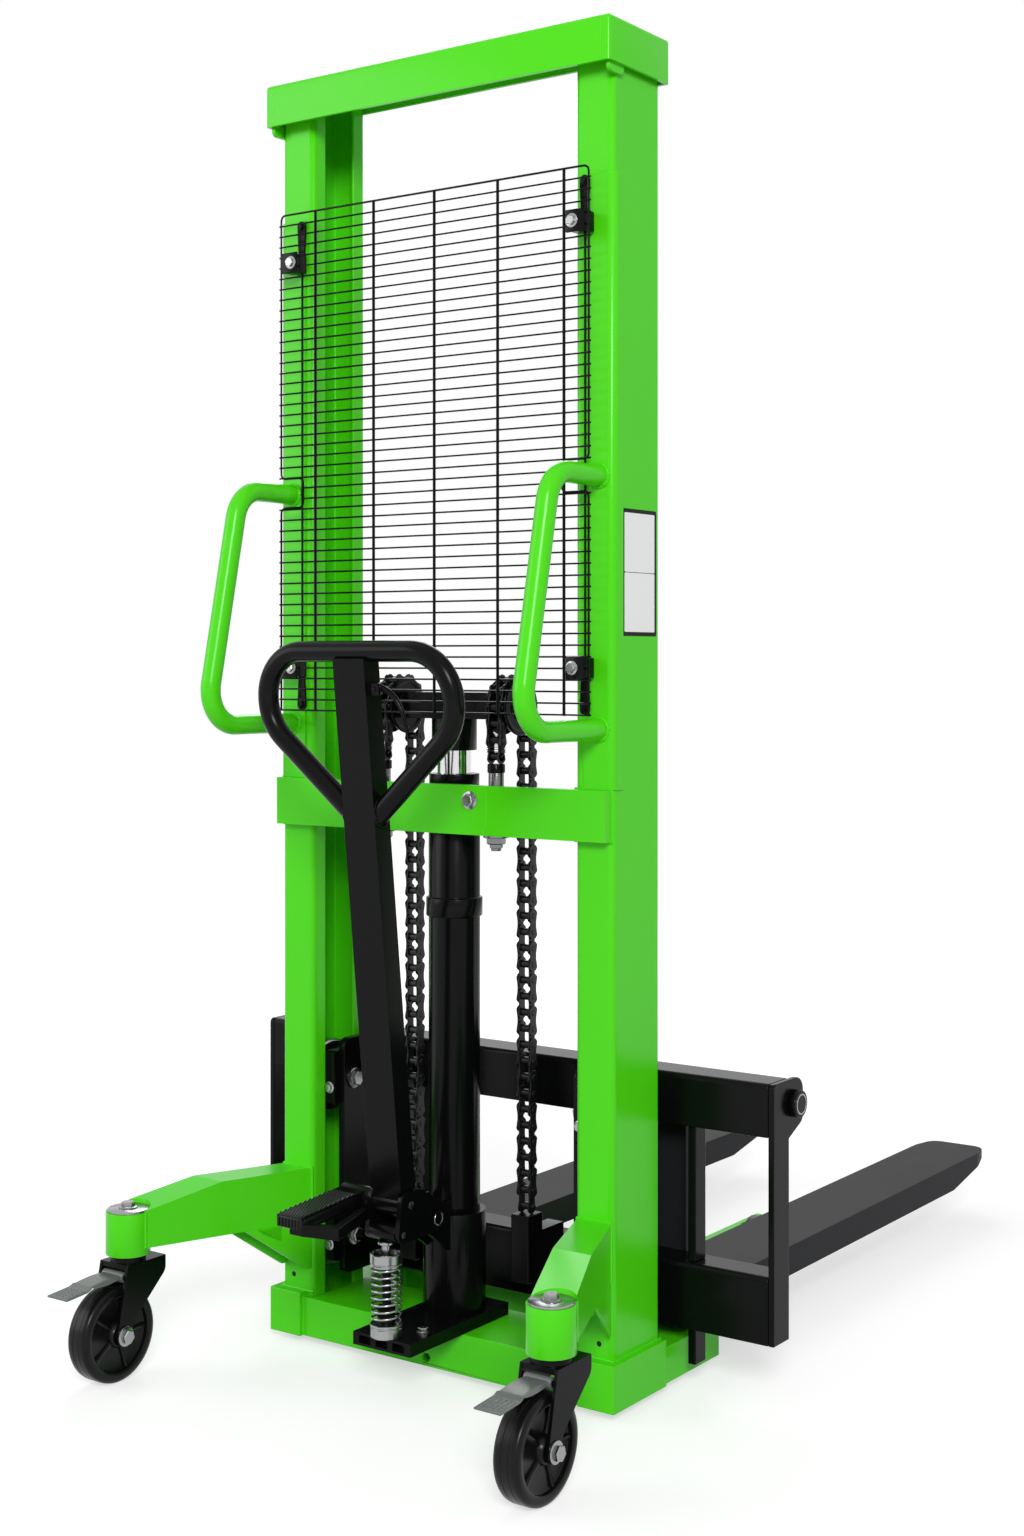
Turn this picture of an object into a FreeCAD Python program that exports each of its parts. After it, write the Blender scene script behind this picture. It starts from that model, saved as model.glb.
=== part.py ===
import FreeCAD, Part
import math
import os

import Sketcher

# Hand pallet stacker: a fixed mast of two channel uprights on a castored base, a hand-pumped lift
# cylinder that raises a pair of chain pulleys, and a fork carriage that the two chains pull up.
# X runs across the truck, forks point along +Y, Z is up and the floor is Z = 0.

doc = FreeCAD.newDocument("hand_pallet_stacker")
sheet = doc.addObject("Spreadsheet::Sheet", "dims")
Vector = FreeCAD.Vector


class Size:
    """A length, count or angle with its value and the formula that the document binds."""

    def __init__(self, value, formula):
        self.value = value
        self.formula = formula

    def __add__(self, other):
        other = as_size(other)
        return Size(self.value + other.value, f"({self.formula} + {other.formula})")

    def __sub__(self, other):
        other = as_size(other)
        return Size(self.value - other.value, f"({self.formula} - {other.formula})")

    def __mul__(self, other):
        other = as_size(other)
        return Size(self.value * other.value, f"({self.formula} * {other.formula})")

    def __truediv__(self, other):
        other = as_size(other)
        return Size(self.value / other.value, f"({self.formula} / {other.formula})")

    def __neg__(self):
        return Size(-self.value, f"(0 - {self.formula})")

    def __radd__(self, other):
        return as_size(other) + self

    def __rsub__(self, other):
        return as_size(other) - self

    def __rmul__(self, other):
        return as_size(other) * self


def as_size(number):
    """A plain number as a size whose formula is that number."""
    return number if isinstance(number, Size) else Size(number, f"({number})")


rows_used = 0


def dimension(alias, value):
    """Writes one driving dimension to the sheet and returns it."""
    global rows_used
    rows_used += 1
    sheet.set(f"A{rows_used}", alias)
    sheet.set(f"B{rows_used}", str(value))
    sheet.setAlias(f"B{rows_used}", alias)
    return Size(float(value), f"dims.{alias}")


# Mast, base and the clearances that every fit shares
running_fit = dimension("running_fit", 0.05)
side_play = dimension("side_play", 0.4)
plate = dimension("plate", 6)
mast_width = dimension("mast_width", 654)
upright_width = dimension("upright_width", 68)
upright_depth = dimension("upright_depth", 133)
upright_lip = dimension("upright_lip", 31)
upright_bend = dimension("upright_bend", 9)
mast_top = dimension("mast_top", 2080)
beam_height = dimension("beam_height", 68)
beam_end_overhang = dimension("beam_end_overhang", 12)
beam_rear_overhang = dimension("beam_rear_overhang", 29)
beam_front_overhang = dimension("beam_front_overhang", 9)
beam_front_relief = dimension("beam_front_relief", 47)
corner_plate_top = dimension("corner_plate_top", 1855)
corner_plate_side_leg = dimension("corner_plate_side_leg", 24)
corner_plate_rear_leg = dimension("corner_plate_rear_leg", 52)
corner_plate_thickness = dimension("corner_plate_thickness", 3)
floor_clearance = dimension("floor_clearance", 14)
sleeve_top = dimension("sleeve_top", 86)
sleeve_width = dimension("sleeve_width", 66)
sleeve_side_wall = dimension("sleeve_side_wall", 12)
sleeve_rear_wall = dimension("sleeve_rear_wall", 18)
sill_top = dimension("sill_top", 78)
sill_rear = dimension("sill_rear", 10)
rail_top = dimension("rail_top", 70)
rail_width = dimension("rail_width", 70)
rail_inset = dimension("rail_inset", 6)
rail_front = dimension("rail_front", 306)
front_member_depth = dimension("front_member_depth", 60)
drain_radius = dimension("drain_radius", 7)
drain_x = dimension("drain_x", 17)
drain_z = dimension("drain_z", 28)
leg_gap = dimension("leg_gap", 120)
leg_width = dimension("leg_width", 70)
leg_bottom = dimension("leg_bottom", 18)
leg_top = dimension("leg_top", 62)
leg_length = dimension("leg_length", 624)
load_roller_radius = dimension("load_roller_radius", 35)
load_roller_width = dimension("load_roller_width", 48)
load_roller_setback = dimension("load_roller_setback", 44)
load_pin_radius = dimension("load_pin_radius", 8)
crossbar_bottom = dimension("crossbar_bottom", 857)
crossbar_height = dimension("crossbar_height", 77)
crossbar_depth = dimension("crossbar_depth", 18)
crossbar_inset = dimension("crossbar_inset", 3)

# Grab handles, mesh guard and castor arms
handle_tube_radius = dimension("handle_tube_radius", 16)
handle_inset = dimension("handle_inset", 24)
handle_top = dimension("handle_top", 1402)
handle_bottom = dimension("handle_bottom", 1024)
handle_reach_top = dimension("handle_reach_top", 130)
handle_reach_bottom = dimension("handle_reach_bottom", 210)
handle_bend = dimension("handle_bend", 56)
guard_half_width = dimension("guard_half_width", 303)
guard_bottom = dimension("guard_bottom", 1046)
guard_top = dimension("guard_top", 1860)
guard_standoff = dimension("guard_standoff", 30)
guard_wire = dimension("guard_wire", 3.5)
guard_upright_wire = dimension("guard_upright_wire", 5)
guard_upright_pitch = dimension("guard_upright_pitch", 122)
guard_upright_offset = dimension("guard_upright_offset", 15)
guard_notch = dimension("guard_notch", 24)
clamp_overhang = dimension("clamp_overhang", 8)
guard_wires_across = dimension("guard_wires_across", 48)
guard_strip_width = dimension("guard_strip_width", 5)
guard_strip_thickness = dimension("guard_strip_thickness", 4)
guard_strip_inset = dimension("guard_strip_inset", 23)
clamp_width = dimension("clamp_width", 46)
clamp_height = dimension("clamp_height", 34)
clamp_top = dimension("clamp_top", 1780)
clamp_bottom = dimension("clamp_bottom", 1116)
arm_width = dimension("arm_width", 60)
arm_inset = dimension("arm_inset", 4)
arm_bottom = dimension("arm_bottom", 203)
arm_top = dimension("arm_top", 290)
arm_flat = dimension("arm_flat", 150)
gusset_drop = dimension("gusset_drop", 57)
gusset_length = dimension("gusset_length", 94)
boss_radius = dimension("boss_radius", 35)
boss_bottom = dimension("boss_bottom", 192)
boss_top = dimension("boss_top", 259)
castor_x = dimension("castor_x", 405)
castor_y = dimension("castor_y", 277)

# Lift cylinder, pulleys and chains
cylinder_y = dimension("cylinder_y", 42)
cylinder_radius = dimension("cylinder_radius", 41)
cylinder_bore = dimension("cylinder_bore", 31)
cylinder_top = dimension("cylinder_top", 930)
cylinder_floor = dimension("cylinder_floor", 12)
band_bottom = dimension("band_bottom", 722)
band_height = dimension("band_height", 30)
band_thickness = dimension("band_thickness", 4)
gland_radius = dimension("gland_radius", 40)
gland_height = dimension("gland_height", 18)
rod_radius = dimension("rod_radius", 27)
piston_height = dimension("piston_height", 40)
crosshead_bottom = dimension("crosshead_bottom", 985)
crosshead_half_width = dimension("crosshead_half_width", 88)
crosshead_depth = dimension("crosshead_depth", 40)
crosshead_height = dimension("crosshead_height", 92)
crosshead_hub_radius = dimension("crosshead_hub_radius", 36)
crosshead_hub_height = dimension("crosshead_hub_height", 50)
pulley_x = dimension("pulley_x", 112)
pulley_z = dimension("pulley_z", 1055)
pulley_shaft_radius = dimension("pulley_shaft_radius", 10)
pulley_flange_radius = dimension("pulley_flange_radius", 45)
pulley_flange = dimension("pulley_flange", 5)
chain_pitch = dimension("chain_pitch", 25.4)
chain_plate_height = dimension("chain_plate_height", 23)
chain_plate_waist = dimension("chain_plate_waist", 17)
chain_plate_thickness = dimension("chain_plate_thickness", 3)
chain_roller_width = dimension("chain_roller_width", 15)
chain_roller_radius = dimension("chain_roller_radius", 7.5)
chain_links_over = dimension("chain_links_over", 5)
chain_links_front = dimension("chain_links_front", 31)
chain_links_rear = dimension("chain_links_rear", 3)
chain_plate_gap = dimension("chain_plate_gap", 0.3)
stud_radius = dimension("stud_radius", 8)
stud_sleeve_radius = dimension("stud_sleeve_radius", 12)
stud_below = dimension("stud_below", 24)
stud_nut_radius = dimension("stud_nut_radius", 13)
stud_nut_height = dimension("stud_nut_height", 13)
anchor_width = dimension("anchor_width", 36)
anchor_height = dimension("anchor_height", 30)

# Pump, tiller and foot pedal
pump_plate_half_width = dimension("pump_plate_half_width", 56)
pump_plate_rear = dimension("pump_plate_rear", 142)
pump_plate_front = dimension("pump_plate_front", 112)
pump_plate_thickness = dimension("pump_plate_thickness", 20)
pump_plate_slot_depth = dimension("pump_plate_slot_depth", 12)
sleeve_radius = dimension("sleeve_radius", 50)
pump_sleeve_top = dimension("pump_sleeve_top", 256)
pivot_y = dimension("pivot_y", 48)
pivot_z = dimension("pivot_z", 264)
pivot_pin_radius = dimension("pivot_pin_radius", 8)
ear_inner = dimension("ear_inner", 17)
ear_thickness = dimension("ear_thickness", 8)
ear_radius = dimension("ear_radius", 17)
ear_bottom = dimension("ear_bottom", 200)
cheek_thickness = dimension("cheek_thickness", 8)
hub_y = dimension("hub_y", 112)
hub_z = dimension("hub_z", 298)
hub_radius = dimension("hub_radius", 21)
roller_y = dimension("roller_y", 130)
roller_z = dimension("roller_z", 256)
roller_radius = dimension("roller_radius", 13)
roller_pin_radius = dimension("roller_pin_radius", 5)
plunger_radius = dimension("plunger_radius", 7)
plunger_travel = dimension("plunger_travel", 54)
spring_radius = dimension("spring_radius", 22)
spring_wire = dimension("spring_wire", 3.6)
spring_turns = dimension("spring_turns", 8)
collar_radius = dimension("collar_radius", 25)
collar_height = dimension("collar_height", 20)
upper_collar_z = dimension("upper_collar_z", 205)
barrel_radius = dimension("barrel_radius", 14)
barrel_height = dimension("barrel_height", 26)
plunger_cap_radius = dimension("plunger_cap_radius", 13)
plunger_cap_height = dimension("plunger_cap_height", 5)
tiller_lean = dimension("tiller_lean", 6.3)
tiller_tube_width = dimension("tiller_tube_width", 60)
tiller_tube_depth = dimension("tiller_tube_depth", 36)
tiller_tube_wall = dimension("tiller_tube_wall", 3)
tiller_length = dimension("tiller_length", 848)
loop_tube_radius = dimension("loop_tube_radius", 16)
loop_half_width = dimension("loop_half_width", 184)
loop_joint = dimension("loop_joint", 600)
loop_shoulder = dimension("loop_shoulder", 735)
loop_bend = dimension("loop_bend", 75)
lever_z = dimension("lever_z", 792)
lever_length = dimension("lever_length", 78)
lever_width = dimension("lever_width", 12)
lever_drop = dimension("lever_drop", 46)
lever_pin_radius = dimension("lever_pin_radius", 4)
lever_boss_radius = dimension("lever_boss_radius", 9)
lever_ear = dimension("lever_ear", 4)
pedal_x = dimension("pedal_x", 72)
pedal_width = dimension("pedal_width", 50)
pedal_length = dimension("pedal_length", 158)
pedal_thickness = dimension("pedal_thickness", 18)
pedal_hub_radius = dimension("pedal_hub_radius", 17)
pedal_fall = dimension("pedal_fall", 12)
pedal_arm_x = dimension("pedal_arm_x", 12)
pedal_arm_width = dimension("pedal_arm_width", 14)

# Fork carriage, forks, mast rollers and castors
carriage_half_width = dimension("carriage_half_width", 506)
carriage_rear = dimension("carriage_rear", 166)
carriage_plate = dimension("carriage_plate", 8)
carriage_end_plate = dimension("carriage_end_plate", 10)
lower_beam_bottom = dimension("lower_beam_bottom", 96)
lower_beam_top = dimension("lower_beam_top", 199)
lower_beam_depth = dimension("lower_beam_depth", 56)
upper_beam_bottom = dimension("upper_beam_bottom", 409)
upper_beam_top = dimension("upper_beam_top", 490)
upper_beam_depth = dimension("upper_beam_depth", 62)
end_bar_depth = dimension("end_bar_depth", 50)
end_head_depth = dimension("end_head_depth", 96)
shaft_radius = dimension("shaft_radius", 15)
shaft_y = dimension("shaft_y", 232)
shaft_z = dimension("shaft_z", 452)
shaft_collar_radius = dimension("shaft_collar_radius", 21)
shaft_collar = dimension("shaft_collar", 12)
post_x = dimension("post_x", 352)
post_thickness = dimension("post_thickness", 14)
post_depth = dimension("post_depth", 32)
post_bottom = dimension("post_bottom", 40)
roller_plate_x = dimension("roller_plate_x", 228)
roller_plate_thickness = dimension("roller_plate_thickness", 12)
roller_plate_rear = dimension("roller_plate_rear", 42)
roller_plate_bottom = dimension("roller_plate_bottom", 110)
roller_plate_top = dimension("roller_plate_top", 500)
mast_roller_low = dimension("mast_roller_low", 172)
mast_roller_high = dimension("mast_roller_high", 432)
mast_roller_width = dimension("mast_roller_width", 40)
mast_roller_play = dimension("mast_roller_play", 0.6)
mast_axle_radius = dimension("mast_axle_radius", 15)
socket_width = dimension("socket_width", 34)
socket_depth = dimension("socket_depth", 40)
socket_bottom = dimension("socket_bottom", 150)
socket_height = dimension("socket_height", 30)
socket_web = dimension("socket_web", 12)
fork_x = dimension("fork_x", 250)
fork_width = dimension("fork_width", 138)
fork_tip = dimension("fork_tip", 1450)
fork_top = dimension("fork_top", 123)
fork_height = dimension("fork_height", 50)
fork_wall = dimension("fork_wall", 8)
fork_shank = dimension("fork_shank", 30)
fork_shank_gap = dimension("fork_shank_gap", 2)
fork_taper = dimension("fork_taper", 58)
fork_ramp = dimension("fork_ramp", 180)
fork_tip_width = dimension("fork_tip_width", 112)
fork_nose = dimension("fork_nose", 16)
fork_eye_radius = dimension("fork_eye_radius", 22)
fork_eye_play = dimension("fork_eye_play", 0.1)
wheel_radius = dimension("wheel_radius", 75)
wheel_width = dimension("wheel_width", 46)
wheel_trail = dimension("wheel_trail", 36)
wheel_axle_radius = dimension("wheel_axle_radius", 6)
castor_stem_radius = dimension("castor_stem_radius", 9)
castor_plate_thickness = dimension("castor_plate_thickness", 8)
castor_leg = dimension("castor_leg", 5)
castor_leg_gap = dimension("castor_leg_gap", 3)
castor_height = dimension("castor_height", 190)
castor_crown_front = dimension("castor_crown_front", 52)
castor_crown_rear = dimension("castor_crown_rear", 30)
castor_leg_foot = dimension("castor_leg_foot", 16)
brake_pivot_back = dimension("brake_pivot_back", 28)
brake_pivot_z = dimension("brake_pivot_z", 162)
brake_pin_radius = dimension("brake_pin_radius", 4)
brake_width = dimension("brake_width", 44)
brake_thickness = dimension("brake_thickness", 5)
brake_reach = dimension("brake_reach", 424)

doc.recompute()

# Places that follow from the driving dimensions
half_mast = mast_width / 2
beam_bottom = mast_top - beam_height
beam_half_width = half_mast + beam_end_overhang
base_half_width = half_mast + sleeve_side_wall
crossbar_top = crossbar_bottom + crossbar_height
pump_floor = sill_top + pump_plate_thickness
chain_half_width = chain_roller_width / 2 + chain_plate_thickness * 2 + chain_plate_gap
pulley_pitch_angle = 180 / chain_links_over.value
pulley_pitch_radius = chain_pitch / (2 * math.sin(math.radians(pulley_pitch_angle / 2)))
chain_rear_y = cylinder_y - pulley_pitch_radius
chain_front_y = cylinder_y + pulley_pitch_radius
chain_front_pin = pulley_z - chain_pitch * chain_links_front
chain_rear_pin = pulley_z - chain_pitch * chain_links_rear
cheek_inner = ear_inner + ear_thickness + side_play
shank_rear = carriage_rear + lower_beam_depth + fork_shank_gap
upright_middle = upright_depth / 2
# The middle of the whole truck's length stands over the origin.
mast_shift = (brake_reach - fork_tip) / 2

nodes = {}
AXES = {"X": Vector(1, 0, 0), "Y": Vector(0, 1, 0), "Z": Vector(0, 0, 1)}
# Each sketch plane's two drawing axes, its normal, and the normal's sense along that axis
PLANES = {"XY": ("XY_Plane", 1), "XZ": ("XZ_Plane", -1), "YZ": ("YZ_Plane", 1)}


def bind(obj, prop, size):
    """Ties one property of an object to a size."""
    obj.setExpression(prop, as_size(size).formula)


def place(obj, x=0, y=0, z=0):
    """Puts an object's own origin at a point."""
    for axis, size in zip("xyz", (x, y, z)):
        bind(obj, f"Placement.Base.{axis}", size)
    obj.addProperty("App::PropertyString", "PlaceY")
    obj.PlaceY = as_size(y).formula
    return obj


def both(side, low, high):
    """A span across the truck, on the right for side 1 and mirrored for side -1."""
    return (low, high) if side > 0 else (-as_size(high), -as_size(low))


def block(x, y, z):
    """A box between a low and a high size on each axis."""
    obj = doc.addObject("Part::Box", "Block")
    for prop, (low, high) in zip(("Length", "Width", "Height"), (x, y, z)):
        bind(obj, prop, as_size(high) - low)
    return place(obj, x[0], y[0], z[0])


def rod(axis, radius, span, at):
    """A round bar along an axis over a span; at holds the two other coordinates in X, Y, Z order."""
    obj = doc.addObject("Part::Cylinder", "Rod")
    bind(obj, "Radius", radius)
    bind(obj, "Height", as_size(span[1]) - span[0])
    obj.Placement = FreeCAD.Placement(Vector(), FreeCAD.Rotation(AXES["Z"], AXES[axis]))
    centre = list(at)
    centre.insert("XYZ".index(axis), span[0])
    return place(obj, *centre)


def fuse(*shapes):
    """Several shapes welded into one."""
    obj = doc.addObject("Part::MultiFuse", "Weld")
    obj.Shapes = list(shapes)
    obj.Refine = True
    return obj


def cut(base, *tools):
    """A shape with every tool taken out of it."""
    obj = doc.addObject("Part::Cut", "Cut")
    obj.Base = base
    obj.Tool = tools[0] if len(tools) == 1 else fuse(*tools)
    obj.Refine = True
    return obj


def group(*shapes):
    """Separate solids of one kind that share a node."""
    obj = doc.addObject("Part::Compound", "Group")
    obj.Links = list(shapes)
    return obj


def sketch_on(body, plane, offset):
    """An empty sketch in a body, on one of its origin planes moved along that plane's axis."""
    role, sense = PLANES[plane]
    sketch = body.newObject("Sketcher::SketchObject", "Outline")
    origin = [feature for feature in body.Origin.OriginFeatures if feature.Role == role][0]
    sketch.AttachmentSupport = [(origin, "")]
    sketch.MapMode = "FlatFace"
    bind(sketch, "AttachmentOffset.Base.z", as_size(offset) * sense)
    return sketch


def held_at(geometry, end, point):
    """The two sizes that hold one end of a sketch line, or a sketch point, at a place from the origin."""
    return [
        (Sketcher.Constraint(kind, -1, 1, geometry, end, as_size(size).value), as_size(size).formula)
        for kind, size in zip(("DistanceX", "DistanceY"), point)
    ]


def constrain(sketch, held):
    """Adds a sketch's constraints together, then binds the ones that carry a size."""
    sketch.addConstraint([constraint for constraint, formula in held])
    for number, (constraint, formula) in enumerate(held):
        if formula:
            sketch.setExpression(f"Constraints[{number}]", formula)


def draw(sketch, corners, closed=True):
    """Draws an outline through corners (u, v) or (u, v, bend radius), every corner held by its sizes."""
    points = [Vector(as_size(c[0]).value, as_size(c[1]).value, 0) for c in corners]
    count = len(corners)
    bends = {}
    for i, corner in enumerate(corners):
        if len(corner) > 2:
            before = (points[i - 1] - points[i]).normalize()
            after = (points[(i + 1) % count] - points[i]).normalize()
            half = before.getAngle(after) / 2
            radius = corner[2].value
            reach = radius / math.tan(half)
            middle = points[i] + (before + after).normalize() * (radius / math.sin(half))
            bends[i] = (points[i] + before * reach, middle, points[i] + after * reach)
    lines = []
    for i in range(count if closed else count - 1):
        j = (i + 1) % count
        start = bends[i][2] if i in bends else points[i]
        end = bends[j][0] if j in bends else points[j]
        lines.append(sketch.addGeometry(Part.LineSegment(start, end), False))
    held = []
    for i in range(count):
        into = lines[i - 1] if closed or i > 0 else None
        out = lines[i] if closed or i < count - 1 else None
        if i in bends:
            first, middle, last = bends[i]
            left_turn = (points[i] - first).cross(last - points[i]).z > 0
            low, high = (first, last) if left_turn else (last, first)
            low_turn = math.atan2(low.y - middle.y, low.x - middle.x)
            high_turn = math.atan2(high.y - middle.y, high.x - middle.x)
            circle = Part.Circle(middle, AXES["Z"], corners[i][2].value)
            arc = sketch.addGeometry(Part.ArcOfCircle(circle, low_turn, high_turn), False)
            corner = sketch.addGeometry(Part.Point(points[i]), True)
            held.extend(held_at(corner, 1, corners[i]))
            held.append((Sketcher.Constraint("Radius", arc, corners[i][2].value), corners[i][2].formula))
            held.append((Sketcher.Constraint("Tangent", into, 2, arc, 1 if left_turn else 2), None))
            held.append((Sketcher.Constraint("Tangent", arc, 2 if left_turn else 1, out, 1), None))
            held.append((Sketcher.Constraint("PointOnObject", corner, 1, into), None))
            held.append((Sketcher.Constraint("PointOnObject", corner, 1, out), None))
        else:
            if into is not None and out is not None:
                held.append((Sketcher.Constraint("Coincident", into, 2, out, 1), None))
            if out is not None:
                held.extend(held_at(out, 1, corners[i]))
            else:
                held.extend(held_at(into, 2, corners[i]))
    constrain(sketch, held)


def profile(plane, corners, span):
    """A plate or section: an outline padded between two places along the plane's axis."""
    body = doc.addObject("PartDesign::Body", "Section")
    sense = PLANES[plane][1]
    sketch = sketch_on(body, plane, span[0] if sense > 0 else span[1])
    draw(sketch, corners)
    pad = body.newObject("PartDesign::Pad", "Pad")
    pad.Profile = sketch
    bind(pad, "Length", as_size(span[1]) - span[0])
    sketch.Visibility = False
    return body


def turned(corners):
    """A turned piece: a half outline (radius, height) revolved about Z."""
    body = doc.addObject("PartDesign::Body", "Turning")
    sketch = sketch_on(body, "XZ", 0)
    draw(sketch, corners)
    spin = body.newObject("PartDesign::Revolution", "Revolution")
    spin.Profile = sketch
    spin.ReferenceAxis = (sketch, ["V_Axis"])
    spin.Angle = 360
    return body


def bent_tube(path_plane, path_offset, corners, end_plane, radius):
    """A round bar swept along a bent centre line that starts square to the end plane."""
    body = doc.addObject("PartDesign::Body", "Tube")
    path = sketch_on(body, path_plane, path_offset)
    draw(path, corners, closed=False)
    first = corners[0]
    start = {"YZ": (path_offset, first[0], first[1]), "XZ": (first[0], path_offset, first[1])}[path_plane]
    end = {"XZ": (start[0], start[2], start[1]), "YZ": (start[1], start[2], start[0])}[end_plane]
    ring = sketch_on(body, end_plane, end[2])
    centre = Vector(as_size(end[0]).value, as_size(end[1]).value, 0)
    circle = ring.addGeometry(Part.Circle(centre, AXES["Z"], radius.value), False)
    size = (Sketcher.Constraint("Radius", circle, radius.value), radius.formula)
    constrain(ring, held_at(circle, 3, end[:2]) + [size])
    pipe = body.newObject("PartDesign::AdditivePipe", "Pipe")
    pipe.Profile = ring
    pipe.Spine = path
    return body


def node(name, obj):
    """Names a finished sub-part and stands it in the truck's own frame."""
    obj.Label = name
    own_y = obj.PlaceY if hasattr(obj, "PlaceY") else "0"
    obj.setExpression("Placement.Base.y", f"{own_y} + {mast_shift.formula}")
    nodes[name] = obj
    return obj


# Uprights: channels of bent plate, open towards each other, with lips that keep the rollers in
for name, side in (("left_upright", -1), ("right_upright", 1)):
    outer = half_mast * side
    lip = (half_mast - upright_width) * side
    wall_in = (half_mast - plate) * side
    lip_in = (half_mast - upright_width + plate) * side
    inside_bend = upright_bend - plate
    section = [
        (outer, 0, upright_bend),
        (outer, upright_depth, upright_bend),
        (lip, upright_depth, upright_bend),
        (lip, upright_depth - upright_lip),
        (lip_in, upright_depth - upright_lip),
        (lip_in, upright_depth - plate, inside_bend),
        (wall_in, upright_depth - plate, inside_bend),
        (wall_in, plate, inside_bend),
        (lip_in, plate, inside_bend),
        (lip_in, upright_lip),
        (lip, upright_lip),
        (lip, 0, upright_bend),
    ]
    node(name, profile("XY", section, (floor_clearance + plate, mast_top - plate)))

# Corner plates: folded strips that stiffen each upright's outer rear edge
strips = []
for side in (-1, 1):
    out = half_mast + corner_plate_thickness
    strip = [
        (out * side, -corner_plate_thickness, upright_bend + corner_plate_thickness),
        (out * side, corner_plate_side_leg),
        (half_mast * side, corner_plate_side_leg),
        (half_mast * side, 0, upright_bend),
        ((half_mast - corner_plate_rear_leg) * side, 0),
        ((half_mast - corner_plate_rear_leg) * side, -corner_plate_thickness),
    ]
    strips.append(profile("XY", strip, (crossbar_top, corner_plate_top)))
node("upright_corner_plates", group(*strips))

# Top beam: a folded cap over both uprights, with closed ends and a front wall cut back between them
beam_outer = block(
    (-beam_half_width, beam_half_width),
    (-beam_rear_overhang, upright_depth + beam_front_overhang),
    (beam_bottom, mast_top),
)
beam_inner = block(
    (-beam_half_width + plate, beam_half_width - plate),
    (-beam_rear_overhang + plate, upright_depth + beam_front_overhang - plate),
    (beam_bottom - plate, mast_top - plate),
)
beam_relief = block(
    (-half_mast + upright_width, half_mast - upright_width),
    (upright_depth, upright_depth + beam_front_overhang + plate),
    (beam_bottom - plate, beam_bottom + beam_front_relief),
)
node("top_beam", cut(beam_outer, beam_inner, beam_relief))

# Crossbar: a channel welded across the uprights' rear faces, flanges towards the mast
crossbar_half = half_mast - crossbar_inset
bar = block((-crossbar_half, crossbar_half), (-crossbar_depth, 0), (crossbar_bottom, crossbar_top))
bar_inside = block(
    (-crossbar_half + plate, crossbar_half - plate),
    (-crossbar_depth + plate, plate),
    (crossbar_bottom + plate, crossbar_top - plate),
)
lugs = []
stud_spaces = []
for side in (-1, 1):
    lug = block(
        both(side, pulley_x - anchor_width / 2, pulley_x + anchor_width / 2),
        (-crossbar_depth + plate, chain_rear_y + anchor_width / 2),
        (crossbar_bottom, crossbar_bottom + anchor_height),
    )
    lugs.append(lug)
    at = (pulley_x * side, chain_rear_y)
    lug_top = crossbar_bottom + anchor_height
    stud_spaces.append(rod("Z", stud_radius, (crossbar_bottom - plate, lug_top), at))
    stud_spaces.append(rod("Z", stud_sleeve_radius + side_play, (lug_top, crossbar_top + plate), at))
node("crossbar", cut(fuse(cut(bar, bar_inside), *lugs), *stud_spaces))

# Chain anchors: a threaded stud in each lug, with a bright sleeve under the chain and a nut below
studs = []
for side in (-1, 1):
    at = (pulley_x * side, chain_rear_y)
    sleeve_end = chain_rear_pin - chain_plate_height / 2
    stud = rod("Z", stud_radius, (crossbar_bottom - stud_below, sleeve_end), at)
    sleeve = rod("Z", stud_sleeve_radius, (lug_top, sleeve_end), at)
    nut = rod("Z", stud_nut_radius, (crossbar_bottom - stud_nut_height, crossbar_bottom), at)
    studs.append(fuse(stud, sleeve, nut))
node("chain_anchor_studs", group(*studs))

# Base frame: a rear sill with a deck, corner sleeves round the uprights' feet, side rails and a front member
sill = block((-half_mast, half_mast), (-sill_rear, 0), (floor_clearance, sill_top))
deck = block(
    (upright_width - half_mast, half_mast - upright_width), (0, upright_depth), (sill_top - plate, sill_top)
)
sole = block((-half_mast, half_mast), (0, upright_depth), (floor_clearance, floor_clearance + plate))
base_pieces = [sill, deck, sole]
for side in (-1, 1):
    sleeve = block(
        both(side, base_half_width - sleeve_width, base_half_width),
        (-sleeve_rear_wall, upright_depth),
        (floor_clearance, sleeve_top),
    )
    foot = block(
        both(side, half_mast - sleeve_width, half_mast),
        (0, upright_depth + plate),
        (floor_clearance + plate, sleeve_top + plate),
    )
    base_pieces.append(cut(sleeve, foot))
    rail_outer = base_half_width - rail_inset
    base_pieces.append(block(
        both(side, rail_outer - rail_width, rail_outer), (upright_depth, rail_front), (floor_clearance, rail_top)
    ))
front_half = base_half_width - rail_inset - rail_width
base_pieces.append(block(
    (-front_half, front_half), (rail_front - front_member_depth, rail_front), (floor_clearance, rail_top)
))
drain = rod("Y", drain_radius, (-sill_rear - plate, plate), (-drain_x, drain_z))
node("base_frame", cut(fuse(*base_pieces), drain))

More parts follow.
